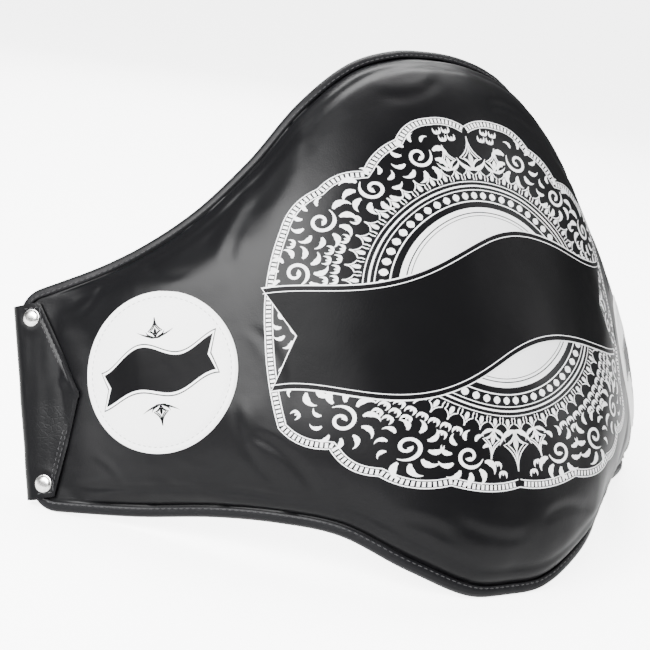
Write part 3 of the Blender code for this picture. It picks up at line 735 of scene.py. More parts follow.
def make_layers():
    for side, word in SIDES:
        cover = half_sheet(word + "_leather_front", side, FRONT_COLUMNS, FRONT_ROWS, SHEET_INSET,
                           front_offset, lambda u, h: front_offset(u, h) - COVER, BLACK)
        liner = half_sheet(word + "_back_lining", side, 130, 110, SHEET_INSET,
                           lambda u, h: LINER_BACK + 1.2 * MM + 0 * u,
                           lambda u, h: LINER_BACK + lining_relief(u, h), LINING)
        base = half_sheet(word + "_base_foam", side, 40, 30, SHEET_INSET + 1.0 * MM,
                          lambda u, h: 1.2 * MM + 0 * u, lambda u, h: -2.5 * MM + 0 * u, FOAM)
        core = half_sheet(word + "_strike_foam", side, 40, 40, 0.030,
                          lambda u, h: np.maximum(front_offset(u, h) - 4.0 * MM, 2.4 * MM),
                          lambda u, h: 1.8 * MM + 0 * u, FOAM)
        for piece, slot in ((cover, "black_leather"), (liner, "lining"), (base, "foam"),
                            (core, "foam")):
            flex(piece)
        reach = np.linspace(low_edge(HINGE_AT) + 0.010, top_edge(HINGE_AT) - 0.010, 90)
        back = LINER_BACK + lining_relief(side * HINGE_AT, reach) - 0.1 * MM
        row = stitch_row(word + "_flex_line_stitches",
                         *surface_line(side * HINGE_AT, reach, back, -1), THREAD)
        flex(row)
        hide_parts(word + "_wing_cover", "front_cover_centre")
        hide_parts(word + "_wing_liner", "back_liner_centre")
        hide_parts(word + "_wing_base_foam", "base_foam_centre")
        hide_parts(word + "_wing_core", "strike_pad_core")


def lining_relief(u, height):
    """The lining is drawn in along two stitched flex lines and puffs a little between."""
    line = bell(np.abs(u) - HINGE_AT, 0.005)
    puckers = ripple(u * 10, height * 120, 27) * bell(np.abs(u) - HINGE_AT, 0.012)
    slow = ripple(u * 18, height * 18, 23) + 0.5 * ripple(u * 46, height * 40, 29)
    return (1.0 * line - 0.30 * puckers - 0.35 * slow) * MM


# ---- binding -----------------------------------------------------------------------------------------

def sweep(name, rings, material, closed_ends=True):
    """Skin over rings of points: an array of stations by points round by three. What would
    dip under the floor is pressed flat on it."""
    stations, round_count = rings.shape[:2]
    bm = bmesh.new()
    bmesh.ops.create_grid(bm, x_segments=stations - 1, y_segments=round_count, size=0.5)
    for vert in bm.verts:
        station = round((vert.co.x + 0.5) * (stations - 1))
        k = round((vert.co.y + 0.5) * round_count) % round_count
        vert.co = rings[station, k]
        vert.co.z = max(vert.co.z, 0.0)
    bmesh.ops.remove_doubles(bm, verts=bm.verts, dist=1e-6)
    if closed_ends:
        bmesh.ops.holes_fill(bm, edges=[e for e in bm.edges if e.is_boundary], sides=0)
    bmesh.ops.recalc_face_normals(bm, faces=bm.faces)
    mesh = mesh_from(name, bm)
    mesh.shade_smooth()
    mesh.set_sharp_from_angle(angle=math.radians(50))
    return add_object(name, mesh, material)


BINDING_SEAM = 5.9 * MM                 # stitches run this far in from the edge


def rim_route(step=0.0035):
    """Half of the pad's edge as (u, height) rows: top middle, round the tip, bottom middle."""
    corner = HALF_WIDTH - CORNER_RADIUS
    straight = np.linspace(0, corner, int(corner / step))
    turns = corner + CORNER_RADIUS * np.sin(np.linspace(0, math.pi / 2, 9)[1:])
    out = np.concatenate([straight, turns])
    top = np.stack([out, sheet_edge(top_edge, out, 1, 0.0)], -1)
    low = np.stack([out, sheet_edge(low_edge, out, -1, 0.0)], -1)[::-1]
    side = np.linspace(top[-1], low[0], 34)[1:-1]
    return np.concatenate([top, side, low])


def edge_normals(route):
    along = np.gradient(route, axis=0)
    along[0] = along[0][0], 0.0
    along[-1] = along[-1][0], 0.0
    along /= np.linalg.norm(along, axis=1)[:, None]
    return np.stack([-along[:, 1], along[:, 0]], -1)


def binding_section():
    """C-shaped section with a rolled nose and turned-in leg ends."""
    middle, half = (BINDING_FRONT + BINDING_BACK) / 2, (BINDING_FRONT - BINDING_BACK) / 2
    wall = 1.2 * MM
    lip = 0.5 * MM
    nose = [(-BINDING_NOSE * (1 - math.sin(a)), middle + half * math.cos(a))
            for a in np.linspace(0, math.pi, 9)]
    leg = -BINDING_LEG
    front = [(leg, middle + half - wall), (leg - 0.1 * MM, middle + half - wall * 0.5),
             (leg + lip, middle + half), (leg / 2 - BINDING_NOSE / 2, middle + half + 0.2 * MM)]
    back = [(x, 2 * middle - z) for x, z in reversed(front)]
    slot = [(-BINDING_NOSE, middle - half + wall), (-BINDING_NOSE, middle + half - wall)]
    return np.array(front + nose + back + slot)


def make_binding():
    route = rim_route()
    normals = edge_normals(route)
    section = binding_section()
    for side, word in SIDES:
        count = len(route)
        pucker = 1 + 0.05 * ripple(np.arange(count) * 0.9, np.zeros(count), 31 + side)[:, None]
        n = section[None, :, 0] * np.ones((count, 1))
        u = route[:, :1] + normals[:, :1] * n
        height = route[:, 1:] + normals[:, 1:] * n
        rings = on_pad(side * u, height, section[None, :, 1] * pucker)
        piece = sweep(word + "_edge_binding", rings, BINDING_BLACK)
        flex(piece)
        names = [word + "_wing_binding", "binding_top_centre", "binding_bottom_centre"]
        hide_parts(*names)
        for face, offset in (("front", BINDING_FRONT + 0.25 * MM),
                             ("back", BINDING_BACK - 0.15 * MM)):
            seam = route - normals * BINDING_SEAM
            row = stitch_row(f"{word}_{face}_binding_stitches",
                             *surface_line(side * seam[:, 0], seam[:, 1], offset), THREAD)
            flex(row)


# ---- stitching -------------------------------------------------------------------------------------------

def reach_along(line):
    """Distance from a line's start to each of its points."""
    return np.concatenate([[0], np.cumsum(np.linalg.norm(np.diff(line, axis=0), axis=1))])


def stitch_row(name, line, up, material, pitch=4.6 * MM, length=3.5 * MM, wide=0.8 * MM,
               high=0.45 * MM):
    """Row of thread stitches along a polyline whose up directions leave the surface."""
    reach = reach_along(line)
    count = max(int(reach[-1] / pitch), 1)
    bm = bmesh.new()
    for k in range(count):
        at = (k + 0.5) * reach[-1] / count
        ends = [Vector([np.interp(at + d, reach, line[:, i]) for i in range(3)])
                for d in (-length / 2, 0.0, length / 2)]
        along = (ends[2] - ends[0]).normalized()
        out = Vector([np.interp(at, reach, up[:, i]) for i in range(3)]).normalized()
        across = out.cross(along).normalized()
        out = along.cross(across)
        turn = Matrix((along * length / 2, across * wide / 2, out * high)).transposed().to_4x4()
        bmesh.ops.create_uvsphere(bm, u_segments=6, v_segments=5, radius=1.0,
                                  matrix=Matrix.Translation(ends[1]) @ turn)
    mesh = mesh_from(name, bm)
    mesh.shade_smooth()
    return add_object(name, mesh, material)


# ---- round patches -----------------------------------------------------------------------------

def disc(name, columns, rings, shape, material, side=1):
    """Thick disc: shape(radius share, angle, front) -> (points, u, height)."""
    bm = bmesh.new()
    steps = [(0.0, k / rings) for k in range(rings + 1)]
    steps += [(1.0, k / rings) for k in range(rings, -1, -1)]
    chain = [bm.verts.new((radius, 0, level)) for level, radius in steps]
    edges = [bm.edges.new(pair) for pair in zip(chain, chain[1:])]
    bmesh.ops.spin(bm, geom=chain + edges, cent=(0, 0, 0), axis=(0, 0, 1), steps=columns,
                   angle=TAU, use_merge=False, use_duplicate=False)
    bmesh.ops.remove_doubles(bm, verts=bm.verts, dist=1e-6)
    bmesh.ops.recalc_face_normals(bm, faces=bm.faces)
    mesh = mesh_from(name, bm)
    flat = rows_of(mesh.vertices, "co")
    points, u, height = shape(np.hypot(flat[:, 0], flat[:, 1]),
                              np.arctan2(flat[:, 1], flat[:, 0]), flat[:, 2] > 0.5)
    shape_mesh(mesh, points, u, height, side)
    mesh.set_sharp_from_angle(angle=math.radians(60))
    return add_object(name, mesh, material)


PATCH_THICK = 1.9 * MM
PATCH_SEAM = 4.5 * MM                   # stitches run this far in from the edge


def patch_front(u, height):
    """Outside of the patch: it bridges the small dents and dips along its stitch line."""
    off = np.hypot(np.abs(u) - PATCH_AT, height - PATCH_HEIGHT)
    stitched = bell(off - (PATCH_RADIUS - PATCH_SEAM), 0.0016) * 0.75 * MM
    rim = ease((off - (PATCH_RADIUS - 2.2 * MM)) / (2.2 * MM)) * 0.9 * MM
    puff = ripple(u * 30, height * 30, 41) * 0.3 * MM
    return COVER_FRONT + pad_height(u, height) + PATCH_THICK - stitched - rim + puff


def make_patches():
    for side, word in SIDES:
        def shape(radius, angle, front):
            r = PATCH_RADIUS * np.sin(radius * math.pi / 2) ** 0.9
            u = side * (PATCH_AT + r * np.cos(angle))
            height = PATCH_HEIGHT + r * np.sin(angle)
            offset = np.where(front, patch_front(u, height), front_offset(u, height) - 0.6 * MM)
            return on_pad(u, height, offset), u, height

        patch = disc(word + "_white_patch", 96, 26, shape, WHITE, side)
        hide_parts(word + "_round_patch")
        angles = np.linspace(0, TAU, 241)
        stitch_radius = PATCH_RADIUS - PATCH_SEAM
        u = side * (PATCH_AT + stitch_radius * np.cos(angles))
        height = PATCH_HEIGHT + stitch_radius * np.sin(angles)
        seam = stitch_row(word + "_patch_stitches",
                          *surface_line(u, height, patch_front(u, height) + 0.1 * MM), PALE_THREAD,
                          pitch=4.2 * MM, length=2.9 * MM, wide=0.7 * MM, high=0.35 * MM)
        for piece in [patch, seam] + make_emblem(word, side):
            flex(piece)


# ---- marks printed on the leather ----------------------------------------------------------------

def marks(name, strips, material, side, lift, surface=front_offset, rows=2):
    """One thin mesh of bands. Each strip is (rows of (distance out, height), widths); bands lie
    just in front of the surface and follow its shape."""
    bm = bmesh.new()
    made_u, made_height, verts = [], [], []
    for line, widths in strips:
        line = np.asarray(line, float)
        widths = np.broadcast_to(np.asarray(widths, float), len(line))
        along = np.gradient(line, axis=0)
        along /= np.maximum(np.linalg.norm(along, axis=1), 1e-9)[:, None]
        across = np.stack([-along[:, 1], along[:, 0]], -1)
        grid = bmesh.ops.create_grid(bm, x_segments=len(line) - 1, y_segments=rows, size=0.5)
        flat = np.array([vert.co for vert in grid["verts"]])
        station = np.rint((flat[:, 0] + 0.5) * (len(line) - 1)).astype(int)
        spot = line[station] + across[station] * (flat[:, 1] * widths[station])[:, None]
        made_u.append(spot[:, 0])
        made_height.append(spot[:, 1])
        verts.extend(grid["verts"])
    out, height = np.concatenate(made_u), np.concatenate(made_height)
    points = on_pad(side * out, height, surface(side * out, height) + lift)
    for vert, point in zip(verts, points):
        vert.co = point
    mesh = mesh_from(name, bm)
    if side < 0:
        mesh.flip_normals()
    add_pad_uv(mesh, side * out, height)
    mesh.shade_smooth()
    return add_object(name, mesh, material)


def arc_between(a, b, bulge, count):
    """Bowed line from a to b; bulge is its rise to the left as a share of the chord."""
    a, b = np.array(a, float), np.array(b, float)
    share = np.linspace(0, 1, count)[:, None]
    normal = np.array([a[1] - b[1], b[0] - a[0]])
    return a + (b - a) * share + normal * bulge * 4 * share * (1 - share)


def through(points, bulges, step=2.6 * MM):
    """Scalloped line: bowed pieces between cusps, points about a step apart."""
    pieces = []
    for a, b, bulge in zip(points[:-1], points[1:], bulges):
        length = math.dist(a, b)
        pieces.append(arc_between(a, b, bulge, max(int(length / step), 3))[:-1])
    pieces.append(np.array([points[-1]], float))
    return np.concatenate(pieces)


def evenly(line, pitch):
    """Points and directions at an even pitch along a line."""
    reach = reach_along(line)
    at = (np.arange(int(reach[-1] / pitch)) + 0.5) * pitch
    spots, ahead, behind = (
        np.stack([np.interp(at + shift, reach, line[:, i]) for i in range(2)], -1)
        for shift in (0, MM, -MM))
    along = ahead - behind
    along /= np.linalg.norm(along, axis=1)[:, None]
    return spots, along


def spoke_at(angle):
    """Unit direction at an angle, and the one a quarter turn to its left."""
    along = np.array([math.cos(angle), math.sin(angle)])
    return along, np.array([-along[1], along[0]])


def seed(root, along, start, length, width, low, high, count):
    """Small filled drop along a direction; low and high shape its two ends."""
    share = np.linspace(0, 1, count)
    return (root + along * (start + length * share)[:, None],
            width * np.sin(math.pi * (low + high * share)))


def leaf(root, angle, length, curl, width, count=7):
    """Tapered, curling leaf: widest a third of the way up, with a fine point."""
    share = np.linspace(0, 1, count)
    heading = angle + curl * share
    steps = np.stack([np.cos(heading), np.sin(heading)], -1) * length / (count - 1)
    line = np.array(root) + np.concatenate([[[0, 0]], np.cumsum(steps[:-1], axis=0)])
    return line, width * np.interp(share, [0, 0.35, 1], [0.35, 1.0, 0.06])


def spiral(centre, radius, start, turns, hand, width):
    """Scroll that winds in from its outer end and thickens into a bud."""
    share = np.linspace(0, 1, int(26 * turns))
    angle = start + hand * share * turns * TAU
    reach = radius * (1 - 0.86 * share ** 0.8)
    line = np.array(centre) + np.stack([np.cos(angle), np.sin(angle)], -1) * reach[:, None]
    return line, width * np.interp(share, [0, 0.12, 0.8, 1], [0.2, 1.0, 0.8, 1.5])


def scroll(centre, radius, start, hand):
    """Spiral with a fan of leaves round its outside and a bud in its eye."""
    strips = [spiral(centre, radius * 0.60, start, 1.35, hand, 2.5 * MM)]
    for k in range(10):
        angle = start + hand * (0.15 + k * 0.60)
        root = np.array(centre) + spoke_at(angle)[0] * radius * 0.72
        size = 1 - 0.045 * k
        strips.append(leaf(root, angle - hand * 0.35, radius * 0.84 * size, hand * 2.1,
                           4.8 * MM * size, 9))
    return strips


def bud(root, angle, size):
    """Pointed bud: a filled heart inside two nested outlines and a pair of side leaves."""
    strips = []
    forward, across = spoke_at(angle)
    root = np.array(root)
    tip = root + forward * size
    for hand in (-1, 1):
        for share, width in ((1.0, 0.9 * MM), (0.66, 0.8 * MM)):
            side = root + forward * size * 0.34 + across * hand * size * 0.36 * share
            top = root + (tip - root) * (0.45 + 0.55 * share)
            first = arc_between(root, side, -0.16 * hand, 5)
            second = arc_between(side, top, -0.14 * hand, 6)
            strips.append((np.concatenate([first, second[1:]]), width))
        strips.append(leaf(root, angle + hand * 1.45, size * 0.62, -hand * 1.2, size * 0.14))
    strips.append(seed(root, forward, 0.16 * size, 0.34 * size, 0.15 * size, 0.12, 0.86, 6))
    return strips


# Half of the scalloped frame of the print, from the top middle round to the bottom middle.
FRAME_CUSPS = ((0.0, 0.1370), (0.0300, 0.1420), (0.0560, 0.1240), (0.0790, 0.1000),
               (0.1080, 0.0895), (0.1345, 0.0620), (0.1510, -0.0100), (0.1480, -0.0790),
               (0.1170, -0.0970), (0.0900, -0.1190), (0.0500, -0.1300), (0.0, -0.1350))
FRAME_BOWS = (0.10, 0.14, 0.10, 0.13, 0.12, 0.05, 0.03, 0.12, 0.14, 0.12, 0.08)
RING_CENTRE = 0.004
RING = 0.085
DISC = 0.068
BEADS, CROWN_LEAVES = 30, 28            # in half of the ring
SCROLLS = ((0.0420, 0.1110, 0.0165, 2.6, 1), (0.0740, 0.0870, 0.0155, 0.6, -1),
           (0.1080, 0.0650, 0.0165, 2.2, 1), (0.1270, 0.0290, 0.0160, 4.6, -1),
           (0.1290, -0.0090, 0.0150, 1.4, 1), (0.1270, -0.0450, 0.0160, 4.9, -1),
           (0.1080, -0.0780, 0.0175, 1.1, 1), (0.0730, -0.1010, 0.0165, 5.4, -1),
           (0.0370, -0.1110, 0.0160, 3.4, 1))
BUDS = ((0.0, 0.1020, 1.571, 0.0270), (0.0, -0.0950, -1.571, 0.0290),
        (0.0190, 0.1010, 1.36, 0.0200), (0.0175, -0.0935, -1.38, 0.0210))


def inside(points, loop):
    """True for the points that lie inside a closed loop."""
    x, y = points[:, :1], points[:, 1:]
    ax, ay = loop[:, 0], loop[:, 1]
    bx, by = np.roll(ax, -1), np.roll(ay, -1)
    level = np.where(by == ay, 1e-12, by - ay)
    crossed = ((ay > y) != (by > y)) & (x < (bx - ax) * (y - ay) / level + ax)
    return crossed.sum(axis=1) % 2 == 1


def circle_half(radius, count=80, start=math.pi / 2):
    """Right half of a circle about the ring's centre, from the top down."""
    angle = np.linspace(start, start - math.pi, count)
    return np.stack([radius * np.cos(angle), RING_CENTRE + radius * np.sin(angle)], -1)


def offset_line(line, shift):
    along = np.gradient(line, axis=0)
    along /= np.linalg.norm(along, axis=1)[:, None]
    moved = line + np.stack([along[:, 1], -along[:, 0]], -1) * shift
    moved[:, 0] = np.maximum(moved[:, 0], 0)
    return moved


def frame_strips():
    """Corded edge of the print: two fine lines with a row of bars between them."""
    outline = through(FRAME_CUSPS, FRAME_BOWS)
    strips = [(offset_line(outline, shift), 0.75 * MM) for shift in (0.0, 5.4 * MM)]
    spots, along = evenly(offset_line(outline, 2.7 * MM), 3.1 * MM)
    across = np.stack([-along[:, 1], along[:, 0]], -1)
    for spot, direction in zip(spots, across):
        share = np.linspace(-0.5, 0.5, 3)[:, None]
        strips.append((spot + direction * share * 3.5 * MM, 1.9 * MM))
    return strips


def filler_strips():
    """Small leaves that flow round the ring and fill what the scrolls leave open."""
    outline = through(FRAME_CUSPS, FRAME_BOWS)
    inner = offset_line(outline, 8.5 * MM)
    loop = np.concatenate([inner, [[-0.01, inner[-1, 1]], [-0.01, inner[0, 1]]]])
    strips = []
    for row in range(14):
        radius = RING + 18 * MM + row * 6.2 * MM
        count = int(math.pi * radius / (7.4 * MM))
        for k in range(count):
            angle = math.pi / 2 - (k + 0.25 + 0.5 * (row % 2)) * math.pi / count
            spoke, _ = spoke_at(angle)
            spot = np.array([0, RING_CENTRE]) + spoke * radius
            clear = inside(np.array([spot, spot + spoke * 3.5 * MM]), loop).all()
            near_scroll = any(math.dist(spot, s[:2]) < s[2] * 1.30 for s in SCROLLS)
            near_bud = any(math.dist(spot, (b[0] + math.cos(b[2]) * b[3] / 2,
                                            b[1] + math.sin(b[2]) * b[3] / 2)) < b[3] * 0.55
                           for b in BUDS)
            if not clear or near_scroll or near_bud:
                continue
            for hand in (-1, 1):
                strips.append(leaf(spot, angle + 1.15 * hand, 6.4 * MM, -1.7 * hand, 2.4 * MM, 6))
            strips.append(seed(spot, spoke, 0.8 * MM, 2.4 * MM, 1.5 * MM, 0.2, 0.75, 4))
    return strips


def ring_strips():
    """Round band: lines, a row of beads, and a crown of pointed leaves outside."""
    strips = [(circle_half(RING), 1.3 * MM), (circle_half(RING - 3.2 * MM), 0.7 * MM),
              (circle_half(RING - 12.0 * MM), 0.9 * MM), (circle_half(RING + 3.4 * MM), 0.7 * MM)]
    for k in range(BEADS):
        angle = math.pi / 2 - (k + 0.5) * math.pi / BEADS
        spoke, _ = spoke_at(angle)
        root = np.array([0, RING_CENTRE]) + spoke * (RING - 7.7 * MM)
        share = np.linspace(-0.5, 0.5, 5)
        strips.append((root + spoke * (share * 5.4 * MM)[:, None],
                       5.2 * MM * np.sqrt(np.maximum(1 - (1.96 * share) ** 2, 0.02))))
    for k in range(CROWN_LEAVES):
        angle = math.pi / 2 - (k + 0.5) * math.pi / CROWN_LEAVES
        spoke, across = spoke_at(angle)
        root = np.array([0, RING_CENTRE]) + spoke * (RING + 4.6 * MM)
        for hand in (-1, 1):
            side = root + spoke * 4.4 * MM + across * hand * 4.3 * MM
            tip = root + spoke * 11.0 * MM
            start = root + across * hand * 4.0 * MM
            rim = np.concatenate([arc_between(start, side, -0.10 * hand, 3),
                                  arc_between(side, tip, -0.16 * hand, 5)[1:]])
            strips.append((rim, 0.8 * MM))
        strips.append(seed(root, spoke, 1.2 * MM, 6.0 * MM, 3.0 * MM, 0.2, 0.78, 5))
    return strips


def half_disc_strips(radius):
    """White field inside the ring, as bands laid side by side."""
    edges = np.linspace(0, radius, 18)
    return [(circle_half((low + high) / 2, 44), high - low + 0.02 * MM)
            for low, high in zip(edges[:-1], edges[1:])]


def ribbon_edge(side):
    """Black ribbon across the print: rows of (distance, lower height, upper height)."""
    out = np.linspace(0, 0.150 if side < 0 else 0.132, 60)
    u = side * out
    middle = -0.004 + 0.15 * u + 0.011 * np.sin(u * 34 + 0.6)
    half = 0.0415 + 0.0050 * np.sin(u * 26 + 2.1)
    return out, middle - half, middle + half


def ribbon_field(name, side, grow, ink, lift):
    """The ribbon's black face, or its pale edge when grown, with a swallow-tailed end."""
    out, low, high = ribbon_edge(side)
    reach = out[-1]

    def shape(a, b, front):
        notch = 0.020 * (1 - np.abs(2 * b - 1))
        along = reach * a
        end = ease((a - 0.75) / 0.25)
        u = along * (1 + grow / reach) - end * notch
        height = np.interp(along, out, low) - grow
        height = height + b * (np.interp(along, out, high) + grow - height)
        return on_pad(side * u, height, front_offset(side * u, height) + lift), side * u, height

    return lattice(name, 64, 30, shape, ink, side, solid=False)


def ribbon_trim(side):
    """Fine pale lines along the ribbon, just inside its edges."""
    out, low, high = ribbon_edge(side)
    return [(np.stack([out, edge + inward * 3.6 * MM], -1), 0.55 * MM)
            for edge, inward in ((low, 1), (high, -1))]


def make_print():
    for side, word in SIDES:
        ornament = frame_strips() + filler_strips() + ring_strips()
        for spot in SCROLLS:
            ornament += scroll(spot[:2], *spot[2:])
        for spot in BUDS:
            ornament += bud(spot[:2], *spot[2:])
        ornament = [(np.stack([np.maximum(line[:, 0], 0), line[:, 1]], -1), widths)
                    for line, widths in ornament]
        layers = [("ornament", ornament, INK_WHITE, 0.22), ("field", half_disc_strips(DISC),
                  INK_WHITE, 0.22), ("field_rings", [(circle_half(DISC - 4 * MM), 0.8 * MM),
                  (circle_half(DISC - 6.5 * MM), 0.5 * MM)], INK_BLACK, 0.34),
                  ("ribbon_trim", ribbon_trim(side), INK_WHITE, 0.66)]
        for label, strips, ink, lift in layers:
            piece = marks(f"{word}_print_{label}", strips, ink, side, lift * MM)
            flex(piece)
        for label, grow, ink, lift in (("ribbon_edge", 1.0, INK_WHITE, 0.42),
                                       ("ribbon", 0.0, INK_BLACK, 0.54)):
            piece = ribbon_field(f"{word}_print_{label}", side, grow * MM, ink, lift * MM)
            flex(piece)


def pennant(name, side, grow, ink, lift):
    """Small waving ribbon with swallow-tailed ends, on a round patch."""
    def shape(a, b, front):
        x = (2 * a - 1) * (0.0430 + grow)
        notch = 0.0050 * (1 - np.abs(2 * b - 1)) * ease((np.abs(2 * a - 1) - 0.6) / 0.4)
        x = x - np.sign(x) * notch
        half = 0.0135 + 0.0020 * np.sin(x * 90 + 1.0) + grow
        out = PATCH_AT - side * x
        height = PATCH_HEIGHT + 0.0045 * np.sin(x * 105) - 0.10 * x + (2 * b - 1) * half
        offset = patch_front(side * out, height) + lift
        return on_pad(side * out, height, offset), side * out, height

    piece = lattice(name, 44, 16, shape, ink, 1, solid=False)
    if side > 0:
        piece.data.flip_normals()
    return piece


def make_emblem(word, side):
    """Plain emblem on a round patch: a black ribbon with a fine outline between two sprays."""
    strips = []
    centre = np.array([PATCH_AT, PATCH_HEIGHT])
    for up in (-1, 1):
        root = centre + np.array([0.0, up * 0.0240])
        strips += bud(root, up * math.pi / 2, 0.0150)
        for hand in (-1, 1):
            strips.append(leaf(root, up * math.pi / 2 + hand * 1.35, 15 * MM, -hand * 0.35,
                               1.6 * MM, 8))
    made = [marks(word + "_patch_sprays", strips, INK_BLACK, side, 0.18 * MM, patch_front)]
    for label, grow, ink, lift in (("outline", 2.6, INK_BLACK, 0.22), ("gap", 1.7, WHITE, 0.30),
                                   ("ribbon", 0.0, INK_BLACK, 0.38)):
        made.append(pennant(f"{word}_patch_{label}", side, grow * MM, ink, lift * MM))
    return made


# ---- tip wraps ------------------------------------------------------------------------------------

WRAP_POINT, WRAP_SHOULDER, WRAP_BACK = 0.046, 0.020, 0.040
FLAP_BACK, LEG_FRONT = 5.1 * MM, -5.8 * MM
FOLD_AT = HALF_WIDTH - 3 * MM
FOLD_MIDDLE, FOLD_RADIUS = (FLAP_BACK + LEG_FRONT) / 2, (FLAP_BACK - LEG_FRONT) / 2
WRAP = 1.8 * MM
RIVET_INSET, RIVET_SPREAD = 0.0125, 0.124
FLAP_END, FOLD_END = 0.46, 0.62         # shares of the wrap's columns


def flap_half(out):
    """Half height of the pointed flap at a distance out: a V with square shoulders."""
    reach = (out - (HALF_WIDTH - WRAP_POINT)) / (WRAP_POINT - WRAP_SHOULDER)
    return WRAP_HEIGHT / 2 * np.clip(reach, 0.03, 1.0)


def flap_front(u, height):
    """Outside of the flap: laid over the leather, pulled tight at the rivets, creased along."""
    out = np.abs(u)
    base = np.maximum(front_offset(u, height) + 0.4 * MM, FLAP_BACK)
    above = np.abs(height - WRAP_MIDDLE)
    rivet = np.hypot(out - (HALF_WIDTH - RIVET_INSET), above - RIVET_SPREAD / 2)
    edge = np.abs(above - flap_half(out))
    slope_cos = 0.34
    hem = bell(edge * slope_cos - 3.4 * MM, 0.0011) * 0.45 * MM * ease((out - 0.300) / 0.006)
    folds = ripple(out * 150 + height * 14, height * 26, 51) * 0.30 * MM
    tug = bell(rivet - 0.009, 0.0035) * 0.35 * MM
    return base + WRAP + folds - hem + tug - 0.5 * MM * bell(rivet, 0.006)


def make_wraps():
    for side, word in SIDES:
        def shape(a, b, front):
            flap = a < FLAP_END
            fold = (a >= FLAP_END) & (a < FOLD_END)
            start = HALF_WIDTH - WRAP_POINT
            out = start + (FOLD_AT - start) * np.clip(a / FLAP_END, 0, 1)
            half = np.where(flap, flap_half(out), WRAP_HEIGHT / 2)
            share = 2 * b - 1
            height = WRAP_MIDDLE + half * np.sign(share) * np.abs(share) ** 0.9
            turned = math.pi * np.clip((a - FLAP_END) / (FOLD_END - FLAP_END), 0, 1)
            back = FOLD_AT - WRAP_BACK * np.clip((a - FOLD_END) / (1 - FOLD_END), 0, 1)
            thick = np.where(front, WRAP * 0.95, 0.1 * MM)
            radius = FOLD_RADIUS + thick + 0.25 * MM * ripple(height * 60, a * 8, 57) * front
            u = np.where(flap, out, np.where(fold, FOLD_AT + radius * np.sin(turned), back))
            top = np.where(front, flap_front(side * u, height) - 0.05 * MM,
                           np.maximum(front_offset(side * u, height) + 0.2 * MM, FLAP_BACK))
            leg = LEG_FRONT - thick - 0.2 * MM * ripple(u * 60, height * 50, 61) * front
            offset = np.where(flap, top, np.where(fold, FOLD_MIDDLE + radius * np.cos(turned),
                                                  leg))
            settle = ease((FOLD_AT - u) / 0.006)
            offset = np.where(flap, offset * settle + (FOLD_MIDDLE + radius) * (1 - settle), offset)
            return on_pad(side * u, height, offset), side * u, height

        wrap = lattice(word + "_leather_wrap", 76, 64, shape, WRAP_BLACK, side)
        wrap.data.set_sharp_from_angle(angle=math.radians(55))
        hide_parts(word + "_tip_wrap")
        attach(wrap, word + "_wing")
        for sign, place_word in ((1, "upper"), (-1, "lower")):
            for gap in (3.4 * MM, 6.0 * MM):
                out = np.linspace(HALF_WIDTH - WRAP_POINT + 0.009 + gap, FOLD_AT - 4 * MM, 60)
                reach = (out - (HALF_WIDTH - WRAP_POINT)) / (WRAP_POINT - WRAP_SHOULDER)
                half = WRAP_HEIGHT / 2 * np.clip(reach, 0, 1)
                slanted = np.where(reach < 1, half - gap * 2.9, WRAP_HEIGHT / 2 - gap)
                height = WRAP_MIDDLE + sign * np.minimum(slanted, WRAP_HEIGHT / 2 - gap)
                seam = surface_line(side * out, height, flap_front(side * out, height))
                row = stitch_row(f"{word}_wrap_{place_word}_stitches_{round(gap / MM)}", *seam,
                                 THREAD, pitch=4.0 * MM, length=3.0 * MM)
                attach(row, word + "_wing")


# ---- rivets -----------------------------------------------------------------------------------------

def spun(name, profile, frame_matrix, material, steps=32):
    """Turned piece from (radius, height) points, top to bottom, on a frame's Z axis."""
    bm = bmesh.new()
    verts = [bm.verts.new((radius, 0.0, height)) for radius, height in profile]
    edges = [bm.edges.new(pair) for pair in zip(verts, verts[1:])]
    bmesh.ops.spin(bm, geom=verts + edges, cent=(0, 0, 0), axis=(0, 0, 1), angle=TAU,
                   steps=steps, use_merge=True)
    bmesh.ops.remove_doubles(bm, verts=bm.verts, dist=1e-6)
    bmesh.ops.recalc_face_normals(bm, faces=bm.faces)
    bmesh.ops.transform(bm, matrix=frame_matrix, verts=bm.verts)
    mesh = mesh_from(name, bm)
    mesh.shade_smooth()
    mesh.set_sharp_from_angle(angle=math.radians(40))
    return add_object(name, mesh, material)


def standing(u, height, offset, out):
    """Frame at a point of the pad with Z leaving its surface (out is 1 or -1)."""
    spot = Vector(on_pad(u, height, offset))
    z = (Vector(on_pad(u, height, offset + 1 * MM)) - spot).normalized() * out
    y = (Vector(on_pad(u, height + 1 * MM, offset)) - spot).normalized()
    x = y.cross(z).normalized()
    y = z.cross(x)
    return Matrix.Translation(spot) @ Matrix((x, y, z)).transposed().to_4x4()


